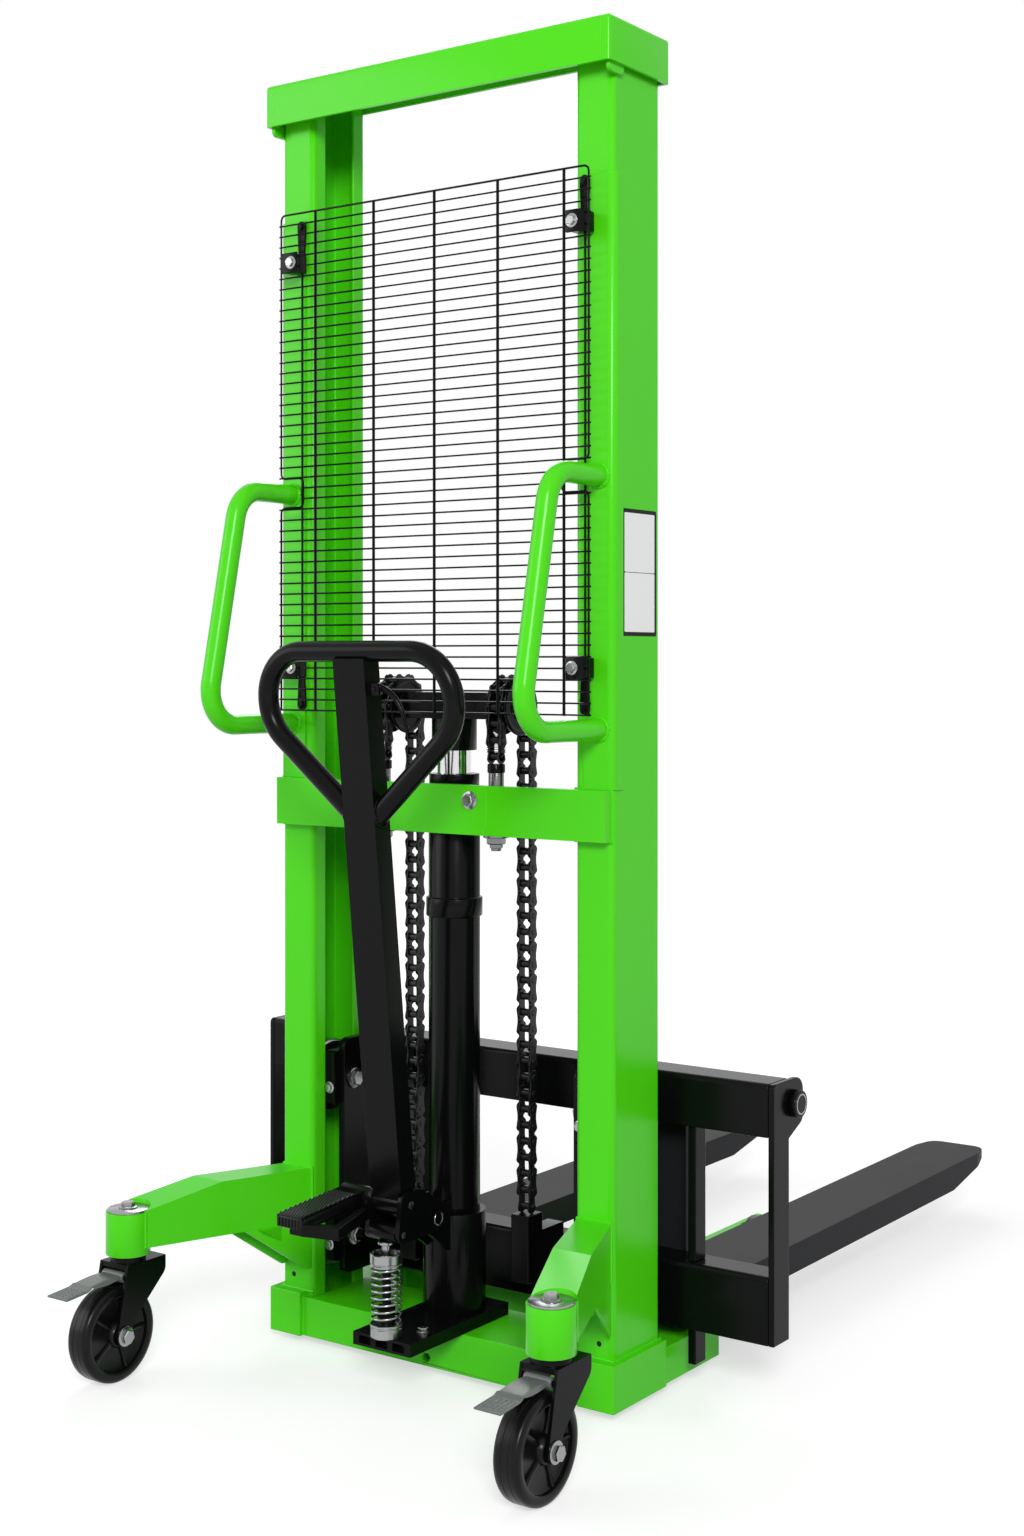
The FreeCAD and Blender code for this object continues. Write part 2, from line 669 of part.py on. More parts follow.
# Support legs: low box bars ahead of the base, forked at the front round a load roller on its pin
for name, side in (("left_support_leg", -1), ("right_support_leg", 1)):
    leg_middle = leg_gap / 2 + leg_width / 2
    roller_place = rail_front + leg_length - load_roller_setback
    slot_half = load_roller_width / 2 + side_play
    bar = block(
        both(side, leg_gap / 2, leg_gap / 2 + leg_width),
        (rail_front, rail_front + leg_length),
        (leg_bottom, leg_top),
    )
    slot = block(
        both(side, leg_middle - slot_half, leg_middle + slot_half),
        (roller_place - load_roller_radius - plate, rail_front + leg_length + plate),
        (0, leg_top + plate),
    )
    pin = rod(
        "X",
        load_pin_radius,
        both(side, leg_gap / 2, leg_gap / 2 + leg_width),
        (roller_place, load_roller_radius),
    )
    node(name, fuse(cut(bar, slot), pin))
    tread = rod(
        "X",
        load_roller_radius,
        both(side, leg_middle - load_roller_width / 2, leg_middle + load_roller_width / 2),
        (roller_place, load_roller_radius),
    )
    bore = rod(
        "X",
        load_pin_radius + running_fit,
        both(side, leg_middle - load_roller_width, leg_middle + load_roller_width),
        (roller_place, load_roller_radius),
    )
    node(name.replace("support_leg", "load_roller"), cut(tread, bore))

# Grab handles: bent round tube, welded to the corner plates and sloping out towards the bottom
for name, side in (("left_grab_handle", -1), ("right_grab_handle", 1)):
    route = [
        (-corner_plate_thickness, handle_top),
        (-handle_reach_top, handle_top, handle_bend),
        (-handle_reach_bottom, handle_bottom, handle_bend),
        (-corner_plate_thickness, handle_bottom),
    ]
    node(name, bent_tube("YZ", (half_mast - handle_inset) * side, route, "XZ", handle_tube_radius))

# Mesh guard: one flat net of welded wire, thick uprights and thin cross wires
guard_net = doc.addObject("Part::Feature", "Net")
wire_half = guard_wire.value / 2
post_half = guard_upright_wire.value / 2
pitch = guard_upright_pitch.value
edge = guard_half_width.value
wire_posts = [-edge] + [guard_upright_offset.value + pitch * step for step in (-2, -1, 0, 1, 2)] + [edge]
gaps_up = int(guard_wires_across.value) - 1
wire_pitch = (guard_top.value - guard_bottom.value) / gaps_up


def rectangle(left, right, low, high, y):
    """A closed upright rectangle."""
    return Part.makePolygon([
        Vector(left, y, low), Vector(right, y, low), Vector(right, y, high), Vector(left, y, high), Vector(left, y, low)
    ])


net_y = -guard_standoff.value - wire_half
notch_low = handle_top.value - guard_notch.value
notch_high = handle_top.value + guard_notch.value
notch_in = edge - guard_notch.value * 2
side_line = [
    (edge + post_half, guard_bottom.value - wire_half),
    (edge + post_half, notch_low),
    (notch_in, notch_low),
    (notch_in, notch_high),
    (edge + post_half, notch_high),
    (edge + post_half, guard_top.value + wire_half),
]
corners = [Vector(u, net_y, v) for u, v in side_line] + [Vector(-u, net_y, v) for u, v in reversed(side_line)]
rim = Part.makePolygon(corners + corners[:1])
openings = []
for left, right in zip(wire_posts, wire_posts[1:]):
    for step in range(gaps_up):
        low = guard_bottom.value + step * wire_pitch + wire_half
        high = low + wire_pitch - 2 * wire_half
        beside_notch = low < notch_high + guard_wire.value and high > notch_low - guard_wire.value
        first = max(left + post_half, -notch_in + guard_wire.value) if beside_notch else left + post_half
        last = min(right - post_half, notch_in - guard_wire.value) if beside_notch else right - post_half
        if last > first:
            openings.append(rectangle(first, last, low, high, net_y))
guard_net.Shape = Part.makeFace([rim] + openings, "Part::FaceMakerBullseye").extrude(Vector(0, guard_wire.value, 0))
node("guard_mesh", guard_net)

# Guard strips on the uprights, and the clamps that hold the net off them
strips = []
clamps = []
strip_middle = guard_half_width - guard_strip_inset
strip_rear = -corner_plate_thickness - guard_strip_thickness
for side in (-1, 1):
    strips.append(block(
        both(side, strip_middle - guard_strip_width / 2, strip_middle + guard_strip_width / 2),
        (strip_rear, -corner_plate_thickness),
        (guard_bottom, guard_top - guard_upright_wire),
    ))
    for height in (clamp_bottom, clamp_top):
        for rear, front in (
            (guard_wire / 2 - guard_standoff, strip_rear),
            (-guard_wire / 2 - guard_standoff - guard_strip_thickness, -guard_wire / 2 - guard_standoff),
        ):
            clamps.append(block(
                both(side, guard_half_width + clamp_overhang - clamp_width, guard_half_width + clamp_overhang),
                (rear, front),
                (height - clamp_height / 2, height + clamp_height / 2),
            ))
node("guard_strips", group(*strips))
node("guard_clamps", group(*clamps))

# Castor arms: splayed box arms with a sloping end, a gusset under the root and a bored boss
for name, side in (("left_castor_arm", -1), ("right_castor_arm", 1)):
    root_in = half_mast - arm_inset - arm_width
    root_out = half_mast - arm_inset
    plan = [
        (root_in * side, 0),
        (root_out * side, 0),
        ((castor_x + arm_width / 2) * side, -castor_y + arm_width / 5),
        ((castor_x - arm_width / 2) * side, -castor_y - arm_width / 5),
    ]
    beam = profile("XY", plan, (arm_bottom, arm_top))
    fall = [
        (-arm_flat, arm_top),
        (-arm_flat, arm_top + plate),
        (-castor_y - boss_radius, arm_top + plate),
        (-castor_y - boss_radius, boss_top - plate),
    ]
    above = profile("YZ", fall, both(side, root_in - arm_width, castor_x + arm_width))
    brace = [(0, arm_bottom), (0, arm_bottom - gusset_drop), (-gusset_length, arm_bottom)]
    gusset = profile("YZ", brace, both(side, root_in + arm_width / 3, root_out))
    at = (castor_x * side, -castor_y)
    boss = rod("Z", boss_radius, (boss_bottom, boss_top), at)
    bore = rod("Z", castor_stem_radius + running_fit, (boss_bottom - plate, boss_top + plate), at)
    cap_seat = rod("Z", boss_radius, (boss_top, arm_top), at)
    node(name, cut(fuse(cut(beam, above), gusset, boss), bore, cap_seat))


def turned_at(corners, axis, x, y, z):
    """A turned piece about an axis through a point."""
    body = turned(corners)
    body.Placement = FreeCAD.Placement(Vector(), FreeCAD.Rotation(AXES["Z"], AXES[axis]))
    return place(body, x, y, z)


# Pump base plate: a thick bar across the sill, with three pockets in its rear edge and the plunger's well
bed = block(
    (-pump_plate_half_width, pump_plate_half_width), (-pump_plate_rear, pump_plate_front), (sill_top, pump_floor)
)
pocket_width = pump_plate_half_width / 2.4
pockets = []
for step in (-1, 0, 1):
    middle = pump_plate_half_width * step * 0.58
    pockets.append(block(
        (middle - pocket_width / 2, middle + pocket_width / 2),
        (-pump_plate_rear - plate, pump_plate_slot_depth - pump_plate_rear),
        (sill_top + pump_plate_thickness / 5, pump_floor - pump_plate_thickness / 5),
    ))
plunger_bottom = pump_floor + collar_height + barrel_height - plate
well_bottom = plunger_bottom - plunger_travel - side_play
well = rod("Z", plunger_radius + running_fit, (well_bottom, pump_floor + plate), (0, -roller_y))
node("pump_base_plate", cut(bed, well, *pockets))

# Lift cylinder: a closed tube with a welded band, and its screwed gland round the piston rod
tube_wall = [
    (0, pump_floor),
    (cylinder_radius, pump_floor),
    (cylinder_radius, band_bottom),
    (cylinder_radius + band_thickness, band_bottom),
    (cylinder_radius + band_thickness, band_bottom + band_height),
    (cylinder_radius, band_bottom + band_height),
    (cylinder_radius, cylinder_top),
    (cylinder_bore, cylinder_top),
    (cylinder_bore, pump_floor + cylinder_floor),
    (0, pump_floor + cylinder_floor),
]
node("cylinder_tube", turned_at(tube_wall, "Z", 0, cylinder_y, 0))
ring = [
    (rod_radius + running_fit, cylinder_top),
    (gland_radius, cylinder_top),
    (gland_radius, cylinder_top + gland_height),
    (rod_radius + running_fit, cylinder_top + gland_height),
]
node("cylinder_gland", turned_at(ring, "Z", 0, cylinder_y, 0))

# Piston rod with its piston, and the crosshead and shaft that carry the pulleys
piston_bottom = pump_floor + cylinder_floor + plate
ram = [
    (0, piston_bottom),
    (cylinder_bore - running_fit, piston_bottom),
    (cylinder_bore - running_fit, piston_bottom + piston_height),
    (rod_radius, piston_bottom + piston_height),
    (rod_radius, crosshead_bottom),
    (0, crosshead_bottom),
]
node("piston_rod", turned_at(ram, "Z", 0, cylinder_y, 0))
hub_top = crosshead_bottom + crosshead_hub_height
yoke_bar = block(
    (-crosshead_half_width, crosshead_half_width),
    (cylinder_y - crosshead_depth / 2, cylinder_y + crosshead_depth / 2),
    (hub_top, crosshead_bottom + crosshead_height),
)
yoke_hub = rod("Z", crosshead_hub_radius, (crosshead_bottom, hub_top), (0, cylinder_y))
shaft_hole = rod(
    "X", pulley_shaft_radius, (-crosshead_half_width - plate, crosshead_half_width + plate), (cylinder_y, pulley_z)
)
node("crosshead", cut(fuse(yoke_bar, yoke_hub), shaft_hole))
pulley_half = chain_half_width + side_play + pulley_flange
shaft_end = pulley_x + pulley_half + side_play + plate
shaft_pieces = [rod("X", pulley_shaft_radius, (-shaft_end, shaft_end), (cylinder_y, pulley_z))]
for side in (-1, 1):
    for low, high in (
        (crosshead_half_width, pulley_x - pulley_half - side_play),
        (pulley_x + pulley_half + side_play, shaft_end),
    ):
        shaft_pieces.append(rod("X", pulley_shaft_radius + plate, both(side, low, high), (cylinder_y, pulley_z)))
node("pulley_shaft", fuse(*shaft_pieces))

# Chain pulleys: flanged rollers whose rim carries the chain's plates
rim_radius = pulley_pitch_radius - chain_plate_height / 2 - side_play
groove = chain_half_width + side_play
wheel_half = [
    (pulley_shaft_radius + running_fit, -pulley_half),
    (pulley_flange_radius, -pulley_half),
    (pulley_flange_radius, -groove),
    (rim_radius, -groove),
    (rim_radius, groove),
    (pulley_flange_radius, groove),
    (pulley_flange_radius, pulley_half),
    (pulley_shaft_radius + running_fit, pulley_half),
]
for name, side in (("left_pulley", -1), ("right_pulley", 1)):
    node(name, turned_at(wheel_half, "X", pulley_x * side, cylinder_y, pulley_z))


def chain_prism(outline, low, high):
    """A flat piece of chain: an outline in the chain's own plane, given a thickness across it."""
    face = Part.Face(Part.makePolygon(outline + outline[:1]))
    face.translate(Vector(low, 0, 0))
    return face.extrude(Vector(high - low, 0, 0))


def chain_links(pins, first_link, rollers):
    """Links between pins, in turn inner and outer pairs of waisted plates, with a roller at each listed pin."""
    end = chain_plate_height.value / 2
    corner = end * 0.45
    waist = chain_plate_waist.value / 2
    inner = chain_roller_width.value / 2
    thick = chain_plate_thickness.value
    solids = []
    for number, (start, stop) in enumerate(zip(pins, pins[1:])):
        along = (stop - start).normalize()
        across = AXES["X"].cross(along)
        length = (stop - start).Length
        shape = [
            (-end, corner), (-corner, end), (length / 2, waist), (length + corner, end), (length + end, corner),
            (length + end, -corner), (length + corner, -end), (length / 2, -waist), (-corner, -end), (-end, -corner),
        ]
        outline = [start + along * u + across * v for u, v in shape]
        outer_pair = (first_link + number) % 2
        low = inner + outer_pair * (thick + chain_plate_gap.value)
        for side in (-1, 1):
            span = sorted((side * low, side * (low + thick)))
            solids.append(chain_prism(outline, *span))
    for number in rollers:
        half_roller = low if number == len(pins) - 1 else inner
        ring = [
            pins[number] + Vector(0, math.cos(turn), math.sin(turn)) * chain_roller_radius.value
            for turn in [math.radians(22.5 + 45 * step) for step in range(8)]
        ]
        solids.append(chain_prism(ring, -half_roller, half_roller))
    return solids


def chain_node(name, pins, first_link, rollers):
    """The same run of both chains, as one node."""
    obj = doc.addObject("Part::Feature", "Chain")
    runs = []
    for side in (-1, 1):
        for solid in chain_links(pins, first_link, rollers):
            solid.translate(Vector(side * pulley_x.value, 0, 0))
            runs.append(solid)
    obj.Shape = Part.makeCompound(runs)
    return node(name, obj)


# Lift chains: each climbs from its anchor stud, goes over its pulley and hangs down to the carriage
links_rear = int(chain_links_rear.value)
links_over = int(chain_links_over.value)
links_front = int(chain_links_front.value)
rear_pins = [
    Vector(0, chain_rear_y.value, chain_rear_pin.value + step * chain_pitch.value) for step in range(links_rear + 1)
]
over_pins = []
for step in range(links_over + 1):
    turn = math.radians(180 - step * pulley_pitch_angle)
    spoke = Vector(0, math.cos(turn), math.sin(turn)) * pulley_pitch_radius.value
    over_pins.append(Vector(0, cylinder_y.value, pulley_z.value) + spoke)
front_pins = [
    Vector(0, chain_front_y.value, pulley_z.value - step * chain_pitch.value) for step in range(links_front + 1)
]
chain_node("chain_rear_runs", rear_pins, 0, range(links_rear))
chain_node("chain_over_pulleys", over_pins, links_rear, range(links_over))
chain_node("chain_front_runs", front_pins, links_rear + links_over, range(links_front + 1))

# Pump sleeve round the cylinder's foot, with two ears for the tiller's pivot pin
sleeve_ring = [
    (cylinder_radius, pump_floor),
    (sleeve_radius, pump_floor),
    (sleeve_radius, pump_sleeve_top),
    (cylinder_radius, pump_sleeve_top),
]
sleeve_pieces = [turned_at(sleeve_ring, "Z", 0, cylinder_y, 0)]
ear_root = cylinder_y - cylinder_radius + running_fit * 2
ear_tip = -pivot_y - ear_radius
ear = [
    (ear_root, ear_bottom),
    (ear_tip, pivot_z - ear_radius, ear_radius - side_play),
    (ear_tip, pivot_z + ear_radius, ear_radius - side_play),
    (ear_root, pivot_z + ear_radius),
]
for side in (-1, 1):
    sleeve_pieces.append(profile("YZ", ear, both(side, ear_inner, ear_inner + ear_thickness)))
cheek_outer = cheek_inner + cheek_thickness
pin_bore = rod("X", pivot_pin_radius, (-cheek_outer, cheek_outer), (-pivot_y, pivot_z))
node("pump_sleeve", cut(fuse(*sleeve_pieces), pin_bore))
pin_end = cheek_outer + side_play + pivot_pin_radius / 2
pin = rod("X", pivot_pin_radius, (-pin_end, pin_end), (-pivot_y, pivot_z))
pin_heads = [
    rod("X", pivot_pin_radius * 1.5, both(side, cheek_outer + side_play, pin_end), (-pivot_y, pivot_z))
    for side in (-1, 1)
]
node("tiller_pivot_pin", fuse(pin, *pin_heads))


def quarter_arc(start, corner, stop):
    """The arc that leaves one point and reaches another, touching the lines from the corner to both."""
    chord = (start + stop) * 0.5 - corner
    reach = (start - corner).Length
    cosine = chord.Length / reach
    sagitta = reach / cosine - reach * math.sqrt(1 - cosine * cosine) / cosine
    return Part.Arc(start, corner + chord.normalize() * sagitta, stop).toShape()


def coil_wire(radius, turns, wire, low, high):
    """A coil's centre line, each half turn as a pair of arcs, with a straight end of one wire diameter."""
    pitch = (high - low) / (turns + wire / (math.pi * radius))
    rise = pitch / (2 * math.pi)
    slope = math.hypot(radius, rise)
    halves = []
    for step in range(2 * turns + 1):
        turn = math.pi * step
        at = Vector(radius * math.cos(turn), radius * math.sin(turn), 0)
        way = Vector(-radius * math.sin(turn), radius * math.cos(turn), rise) * (1 / slope)
        at.z = low + wire * rise / slope + rise * turn
        halves.append((at, way))
    first, first_way = halves[0]
    last, last_way = halves[-1]
    edges = [Part.makeLine(first - first_way * wire, first)]
    for (start, leave), (stop, arrive) in zip(halves, halves[1:]):
        across = stop - start
        total = leave + arrive
        square = 2 * leave.dot(arrive) - 2
        middle = across.dot(total)
        reach = (middle - math.sqrt(middle * middle - square * across.dot(across))) / square
        near = start + leave * reach
        far = stop - arrive * reach
        join = (near + far) * 0.5
        edges.append(quarter_arc(start, near, join))
        edges.append(quarter_arc(join, far, stop))
    edges.append(Part.makeLine(last, last + last_way * wire))
    return Part.Wire(edges), first - first_way * wire, first_way


# Pump spring between its two collars: one unbroken wire
spring_low = pump_floor + collar_height
spring_room = running_fit.value + spring_wire.value / 2
centre_line, coil_start, coil_way = coil_wire(
    spring_radius.value, int(spring_turns.value), spring_wire.value,
    spring_low.value + spring_room, upper_collar_z.value - spring_room,
)
wire_end = Part.Wire([Part.Circle(coil_start, coil_way, spring_wire.value / 2).toShape()])
sweep = Part.BRepOffsetAPI.MakePipeShell(centre_line)
sweep.add(wire_end)
sweep.build()
sweep.makeSolid()
coil = doc.addObject("Part::Feature", "Coil")
coil.Shape = sweep.shape()
along_coil = centre_line.discretize(Number=400)
apart = int(400 / spring_turns.value / 2)
coil_gap = min(
    along_coil[low].distanceToPoint(along_coil[high]) - spring_wire.value
    for low in range(400)
    for high in range(low + apart, 400)
)
print(f"pump spring: least gap between turns {coil_gap:.2f} mm")
if coil_gap < 0.4:
    raise ValueError("the pump spring's turns are too close")
node("pump_spring", place(coil, 0, -roller_y, 0))

# Spring seat on the base plate, and the plunger that slides in its barrel
seat = [
    (plunger_radius + running_fit, pump_floor),
    (collar_radius, pump_floor),
    (collar_radius, spring_low),
    (barrel_radius, spring_low),
    (barrel_radius, spring_low + barrel_height),
    (plunger_radius + running_fit, spring_low + barrel_height),
]
node("spring_seat", turned_at(seat, "Z", 0, -roller_y, 0))
plunger_top = roller_z - roller_radius - side_play
plunger_outline = [
    (0, plunger_bottom),
    (plunger_radius, plunger_bottom),
    (plunger_radius, upper_collar_z),
    (collar_radius, upper_collar_z),
    (collar_radius, upper_collar_z + collar_height),
    (plunger_radius, upper_collar_z + collar_height),
    (plunger_radius, plunger_top - plunger_cap_height),
    (plunger_cap_radius, plunger_top - plunger_cap_height),
    (plunger_cap_radius, plunger_top),
    (0, plunger_top),
]
node("plunger", turned_at(plunger_outline, "Z", 0, -roller_y, 0))


def leaned(obj):
    """Leans a piece, made upright over its own origin, back about the tiller's hub."""
    obj.Placement = FreeCAD.Placement(Vector(), FreeCAD.Rotation(AXES["X"], tiller_lean.value))
    bind(obj, "Placement.Rotation.Angle", tiller_lean)
    return place(obj, 0, -hub_y, hub_z)


# Tiller yoke: two cheeks on the pivot pin, joined by the hub tube and the pump roller's pin
cheek = [
    (-pivot_y + ear_radius + side_play * 10, pivot_z - ear_radius - side_play * 10, ear_radius),
    (-pivot_y + ear_radius + side_play * 10, pivot_z + ear_radius + side_play * 10, ear_radius),
    (-hub_y + hub_radius, hub_z + hub_radius, ear_radius),
    (-hub_y - hub_radius, hub_z + hub_radius, ear_radius),
    (-roller_y - roller_radius, roller_z - roller_radius, roller_radius - side_play),
]
yoke_pieces = [profile("YZ", cheek, both(side, cheek_inner, cheek_outer)) for side in (-1, 1)]
yoke_pieces.append(rod("X", hub_radius, (-cheek_outer, cheek_outer), (-hub_y, hub_z)))
yoke_pieces.append(rod("X", roller_pin_radius, (-cheek_outer, cheek_outer), (-roller_y, roller_z)))
pivot_bore = rod(
    "X", pivot_pin_radius + running_fit, (-cheek_outer - plate, cheek_outer + plate), (-pivot_y, pivot_z)
)
node("tiller_yoke", cut(fuse(*yoke_pieces), pivot_bore))
roller_half = cheek_inner - side_play
roller_body = rod("X", roller_radius, (-roller_half, roller_half), (-roller_y, roller_z))
roller_bore = rod("X", roller_pin_radius + running_fit, (-cheek_inner, cheek_inner), (-roller_y, roller_z))
node("pump_roller", cut(roller_body, roller_bore))

# Tiller tube: a rectangular tube standing on the hub, with ears and a pin for the release lever
half_tube = tiller_tube_width / 2
half_depth = tiller_tube_depth / 2
tube_foot = hub_radius + tiller_tube_wall
tube_head = tiller_length - loop_tube_radius * 0.6
outside = block((-half_tube, half_tube), (-half_depth, half_depth), (tube_foot, tube_head))
hollow = block(
    (-half_tube + tiller_tube_wall, half_tube - tiller_tube_wall),
    (-half_depth + tiller_tube_wall, half_depth - tiller_tube_wall),
    (tube_foot + tiller_tube_wall, tube_head - tiller_tube_wall),
)
neck = block(
    (-cheek_inner + side_play, cheek_inner - side_play), (-half_depth, half_depth), (0, tube_foot + tiller_tube_wall)
)
lever_x = half_tube + lever_boss_radius + side_play * 2
lever_pieces = [
    block(
        (half_tube - tiller_tube_wall / 2, lever_x + lever_boss_radius),
        both(side, lever_width / 2 + side_play, lever_width / 2 + side_play + lever_ear),
        (lever_z - lever_boss_radius, lever_z + lever_boss_radius),
    )
    for side in (-1, 1)
]
pin_reach = lever_width / 2 + side_play + lever_ear * 1.5
lever_pieces.append(rod("Y", lever_pin_radius, (-pin_reach, pin_reach), (lever_x, lever_z)))
hub_space = rod("X", hub_radius, (-half_tube - plate, half_tube + plate), (0, 0))
node("tiller_tube", leaned(cut(fuse(cut(outside, hollow), neck, *lever_pieces), hub_space)))

# Release lever on the tiller's right side
lever_shape = [
    (lever_x, lever_z + lever_boss_radius * 0.7),
    (lever_x + lever_length, lever_z - lever_drop + lever_width / 2),
    (lever_x + lever_length, lever_z - lever_drop - lever_width / 2),
    (lever_x, lever_z - lever_boss_radius * 0.7),
]
lever_bar = profile("XZ", lever_shape, (-lever_width / 2, lever_width / 2))
lever_boss = rod("Y", lever_boss_radius, (-lever_width / 2, lever_width / 2), (lever_x, lever_z))
lever_bore = rod("Y", lever_pin_radius + running_fit, (-lever_width, lever_width), (lever_x, lever_z))
node("release_lever", leaned(cut(fuse(lever_bar, lever_boss), lever_bore)))

# Tiller loop: one bent tube, made as a half and mirrored
half_loop = [
    (0, tiller_length),
    (loop_half_width, tiller_length, loop_bend),
    (loop_half_width - plate, loop_shoulder, loop_bend),
    (half_tube - plate, loop_joint),
]
loop = bent_tube("XZ", 0, half_loop, "YZ", loop_tube_radius)
other_half = loop.newObject("PartDesign::Mirrored", "Mirrored")
other_half.Originals = [loop.Group[-2]]
middle_plane = [item for item in loop.Origin.OriginFeatures if item.Role == "YZ_Plane"][0]
other_half.MirrorPlane = (middle_plane, [""])
loop.Tip = other_half
tube_space = block((-half_tube, half_tube), (-half_depth, half_depth), (tube_foot, tube_head))
node("tiller_loop", leaned(cut(loop, tube_space)))

# Foot pedal: a pad on the hub's left end, braced back to the cheek by a bent arm
pad_low = -pedal_x - pedal_width / 2
pad_high = -pedal_x + pedal_width / 2
pad_tip = -hub_y - pedal_length
pad = [
    (-hub_y, hub_z + pedal_hub_radius * 0.8),
    (pad_tip, hub_z + pedal_hub_radius * 0.8 - pedal_fall),
    (pad_tip, hub_z + pedal_hub_radius * 0.8 - pedal_fall - pedal_thickness),
    (-hub_y, hub_z - pedal_hub_radius * 0.8),
]
brace = [
    (-pedal_x, pad_tip),
    (pad_high, pad_tip),
    (pedal_arm_x, pad_tip + pedal_arm_width),
    (-cheek_outer, -roller_y + pedal_arm_width / 2),
    (-cheek_outer - pedal_arm_width * 0.8, -roller_y + pedal_arm_width / 2),
    (pedal_arm_x - pedal_arm_width * 1.4, pad_tip + pedal_arm_width * 2),
    (pad_high, pad_tip + pedal_arm_width),
    (-pedal_x, pad_tip + pedal_arm_width),
]
brace_top = hub_z + pedal_hub_radius * 0.8 - pedal_fall - pedal_thickness / 2
pedal_pieces = [
    profile("YZ", pad, (pad_low, pad_high)),
    rod("X", pedal_hub_radius, (pad_low, -cheek_outer), (-hub_y, hub_z)),
    profile("XY", brace, (brace_top - pedal_thickness, brace_top)),
]
node("foot_pedal", cut(fuse(*pedal_pieces), *yoke_pieces))

# Carriage beams: two angle sections of folded plate across the full width
beam_end = carriage_half_width - carriage_end_plate
beam_face = carriage_rear + carriage_plate
for name, low, high, depth in (
    ("carriage_upper_beam", upper_beam_bottom, upper_beam_top, upper_beam_depth),
    ("carriage_lower_beam", lower_beam_bottom, lower_beam_top, lower_beam_depth),
):
    angle = [
        (carriage_rear, low),
        (carriage_rear, high, carriage_plate),
        (carriage_rear + depth, high),
        (carriage_rear + depth, high - carriage_plate),
        (beam_face, high - carriage_plate),
        (beam_face, low),
    ]
    node(name, profile("YZ", angle, (-beam_end, beam_end)))

# Carriage end plates: a narrow bar with a rounded head round the fork shaft
head_front = carriage_rear + end_head_depth
ends = []
for side in (-1, 1):
    end_plate = [
        (carriage_rear, lower_beam_bottom),
        (carriage_rear, upper_beam_top, carriage_plate),
        (head_front, upper_beam_top, fork_eye_radius),
        (head_front, shaft_z - fork_eye_radius - carriage_plate, shaft_radius),
        (carriage_rear + end_bar_depth, upper_beam_bottom - carriage_plate),
        (carriage_rear + end_bar_depth, lower_beam_bottom),
    ]
    span = both(side, beam_end, carriage_half_width)
    ends.append(cut(
        profile("YZ", end_plate, span),
        rod("X", shaft_radius, both(side, beam_end - plate, carriage_half_width + plate), (shaft_y, shaft_z)),
    ))
node("carriage_end_plates", group(*ends))

# Carriage posts: short bars between the beams, with feet that reach down in front of the lower beam
posts = []
for side in (-1, 1):
    across = both(side, post_x, post_x + post_thickness)
    along = (beam_face, beam_face + post_depth)
    posts.append(block(across, along, (lower_beam_top, shaft_z - fork_eye_radius)))
    posts.append(block(across, along, (post_bottom, lower_beam_top - carriage_plate)))
node("carriage_posts", group(*posts))

# Roller plates that reach back between the uprights, and the axles through them
roller_inner = half_mast - plate - (upright_width - plate * 2) / 2 - mast_roller_width / 2
roller_outer = roller_inner + mast_roller_width
axle_end = roller_outer + side_play + plate / 2
plates = []
axles = []
for side in (-1, 1):
    outline = [
        (roller_plate_rear, roller_plate_bottom, mast_axle_radius),
        (roller_plate_rear, roller_plate_top, mast_axle_radius),
        (carriage_rear, roller_plate_top, mast_axle_radius),
        (carriage_rear, roller_plate_bottom),
    ]
    wall = profile("YZ", outline, both(side, roller_plate_x, roller_plate_x + roller_plate_thickness))
    holes = []
    for height in (mast_roller_low, mast_roller_high):
        at = (upright_middle, height)
        holes.append(rod("X", mast_axle_radius, both(side, roller_plate_x - plate, axle_end), at))
        shoulder = both(side, roller_plate_x + roller_plate_thickness, roller_inner - side_play)
        head = both(side, roller_outer + side_play, axle_end)
        axles.append(fuse(
            rod("X", mast_axle_radius, both(side, roller_plate_x, axle_end), at),
            rod("X", mast_axle_radius * 1.4, shoulder, at),
            rod("X", mast_axle_radius * 1.2, head, at),
        ))
    plates.append(cut(wall, *holes))
node("carriage_roller_plates", group(*plates))
node("mast_roller_axles", group(*axles))

# Mast rollers: four plain rollers that run inside the uprights
roller_room = (upright_depth - plate * 2) / 2 - mast_roller_play
for name, side, height in (
    ("lower_left_roller", -1, mast_roller_low),
    ("lower_right_roller", 1, mast_roller_low),
    ("upper_left_roller", -1, mast_roller_high),
    ("upper_right_roller", 1, mast_roller_high),
):
    half = mast_roller_width / 2
    bore_radius = mast_axle_radius + running_fit
    outline = [
        (bore_radius, -half),
        (roller_room - plate / 2, -half),
        (roller_room, -half + plate / 2),
        (roller_room, half - plate / 2),
        (roller_room - plate / 2, half),
        (bore_radius, half),
    ]
    node(name, turned_at(outline, "X", (roller_inner + half) * side, upright_middle, height))

# Chain sockets: blocks under the chains' lower ends, each on a plate and a web from the lower beam
socket_top = chain_front_pin - chain_plate_height / 2
sockets = []
for side in (-1, 1):
    across = both(side, pulley_x - socket_width / 2, pulley_x + socket_width / 2)
    web = both(side, pulley_x - socket_web / 2, pulley_x + socket_web / 2)
    rear = chain_front_y - socket_depth / 2
    sockets.append(fuse(
        block(across, (rear, rear + socket_depth), (socket_top - socket_height, socket_top)),
        block(across, (rear, rear + socket_web), (socket_bottom, socket_top)),
        block(web, (rear, carriage_rear), (socket_bottom, lower_beam_top)),
    ))
node("chain_sockets", group(*sockets))

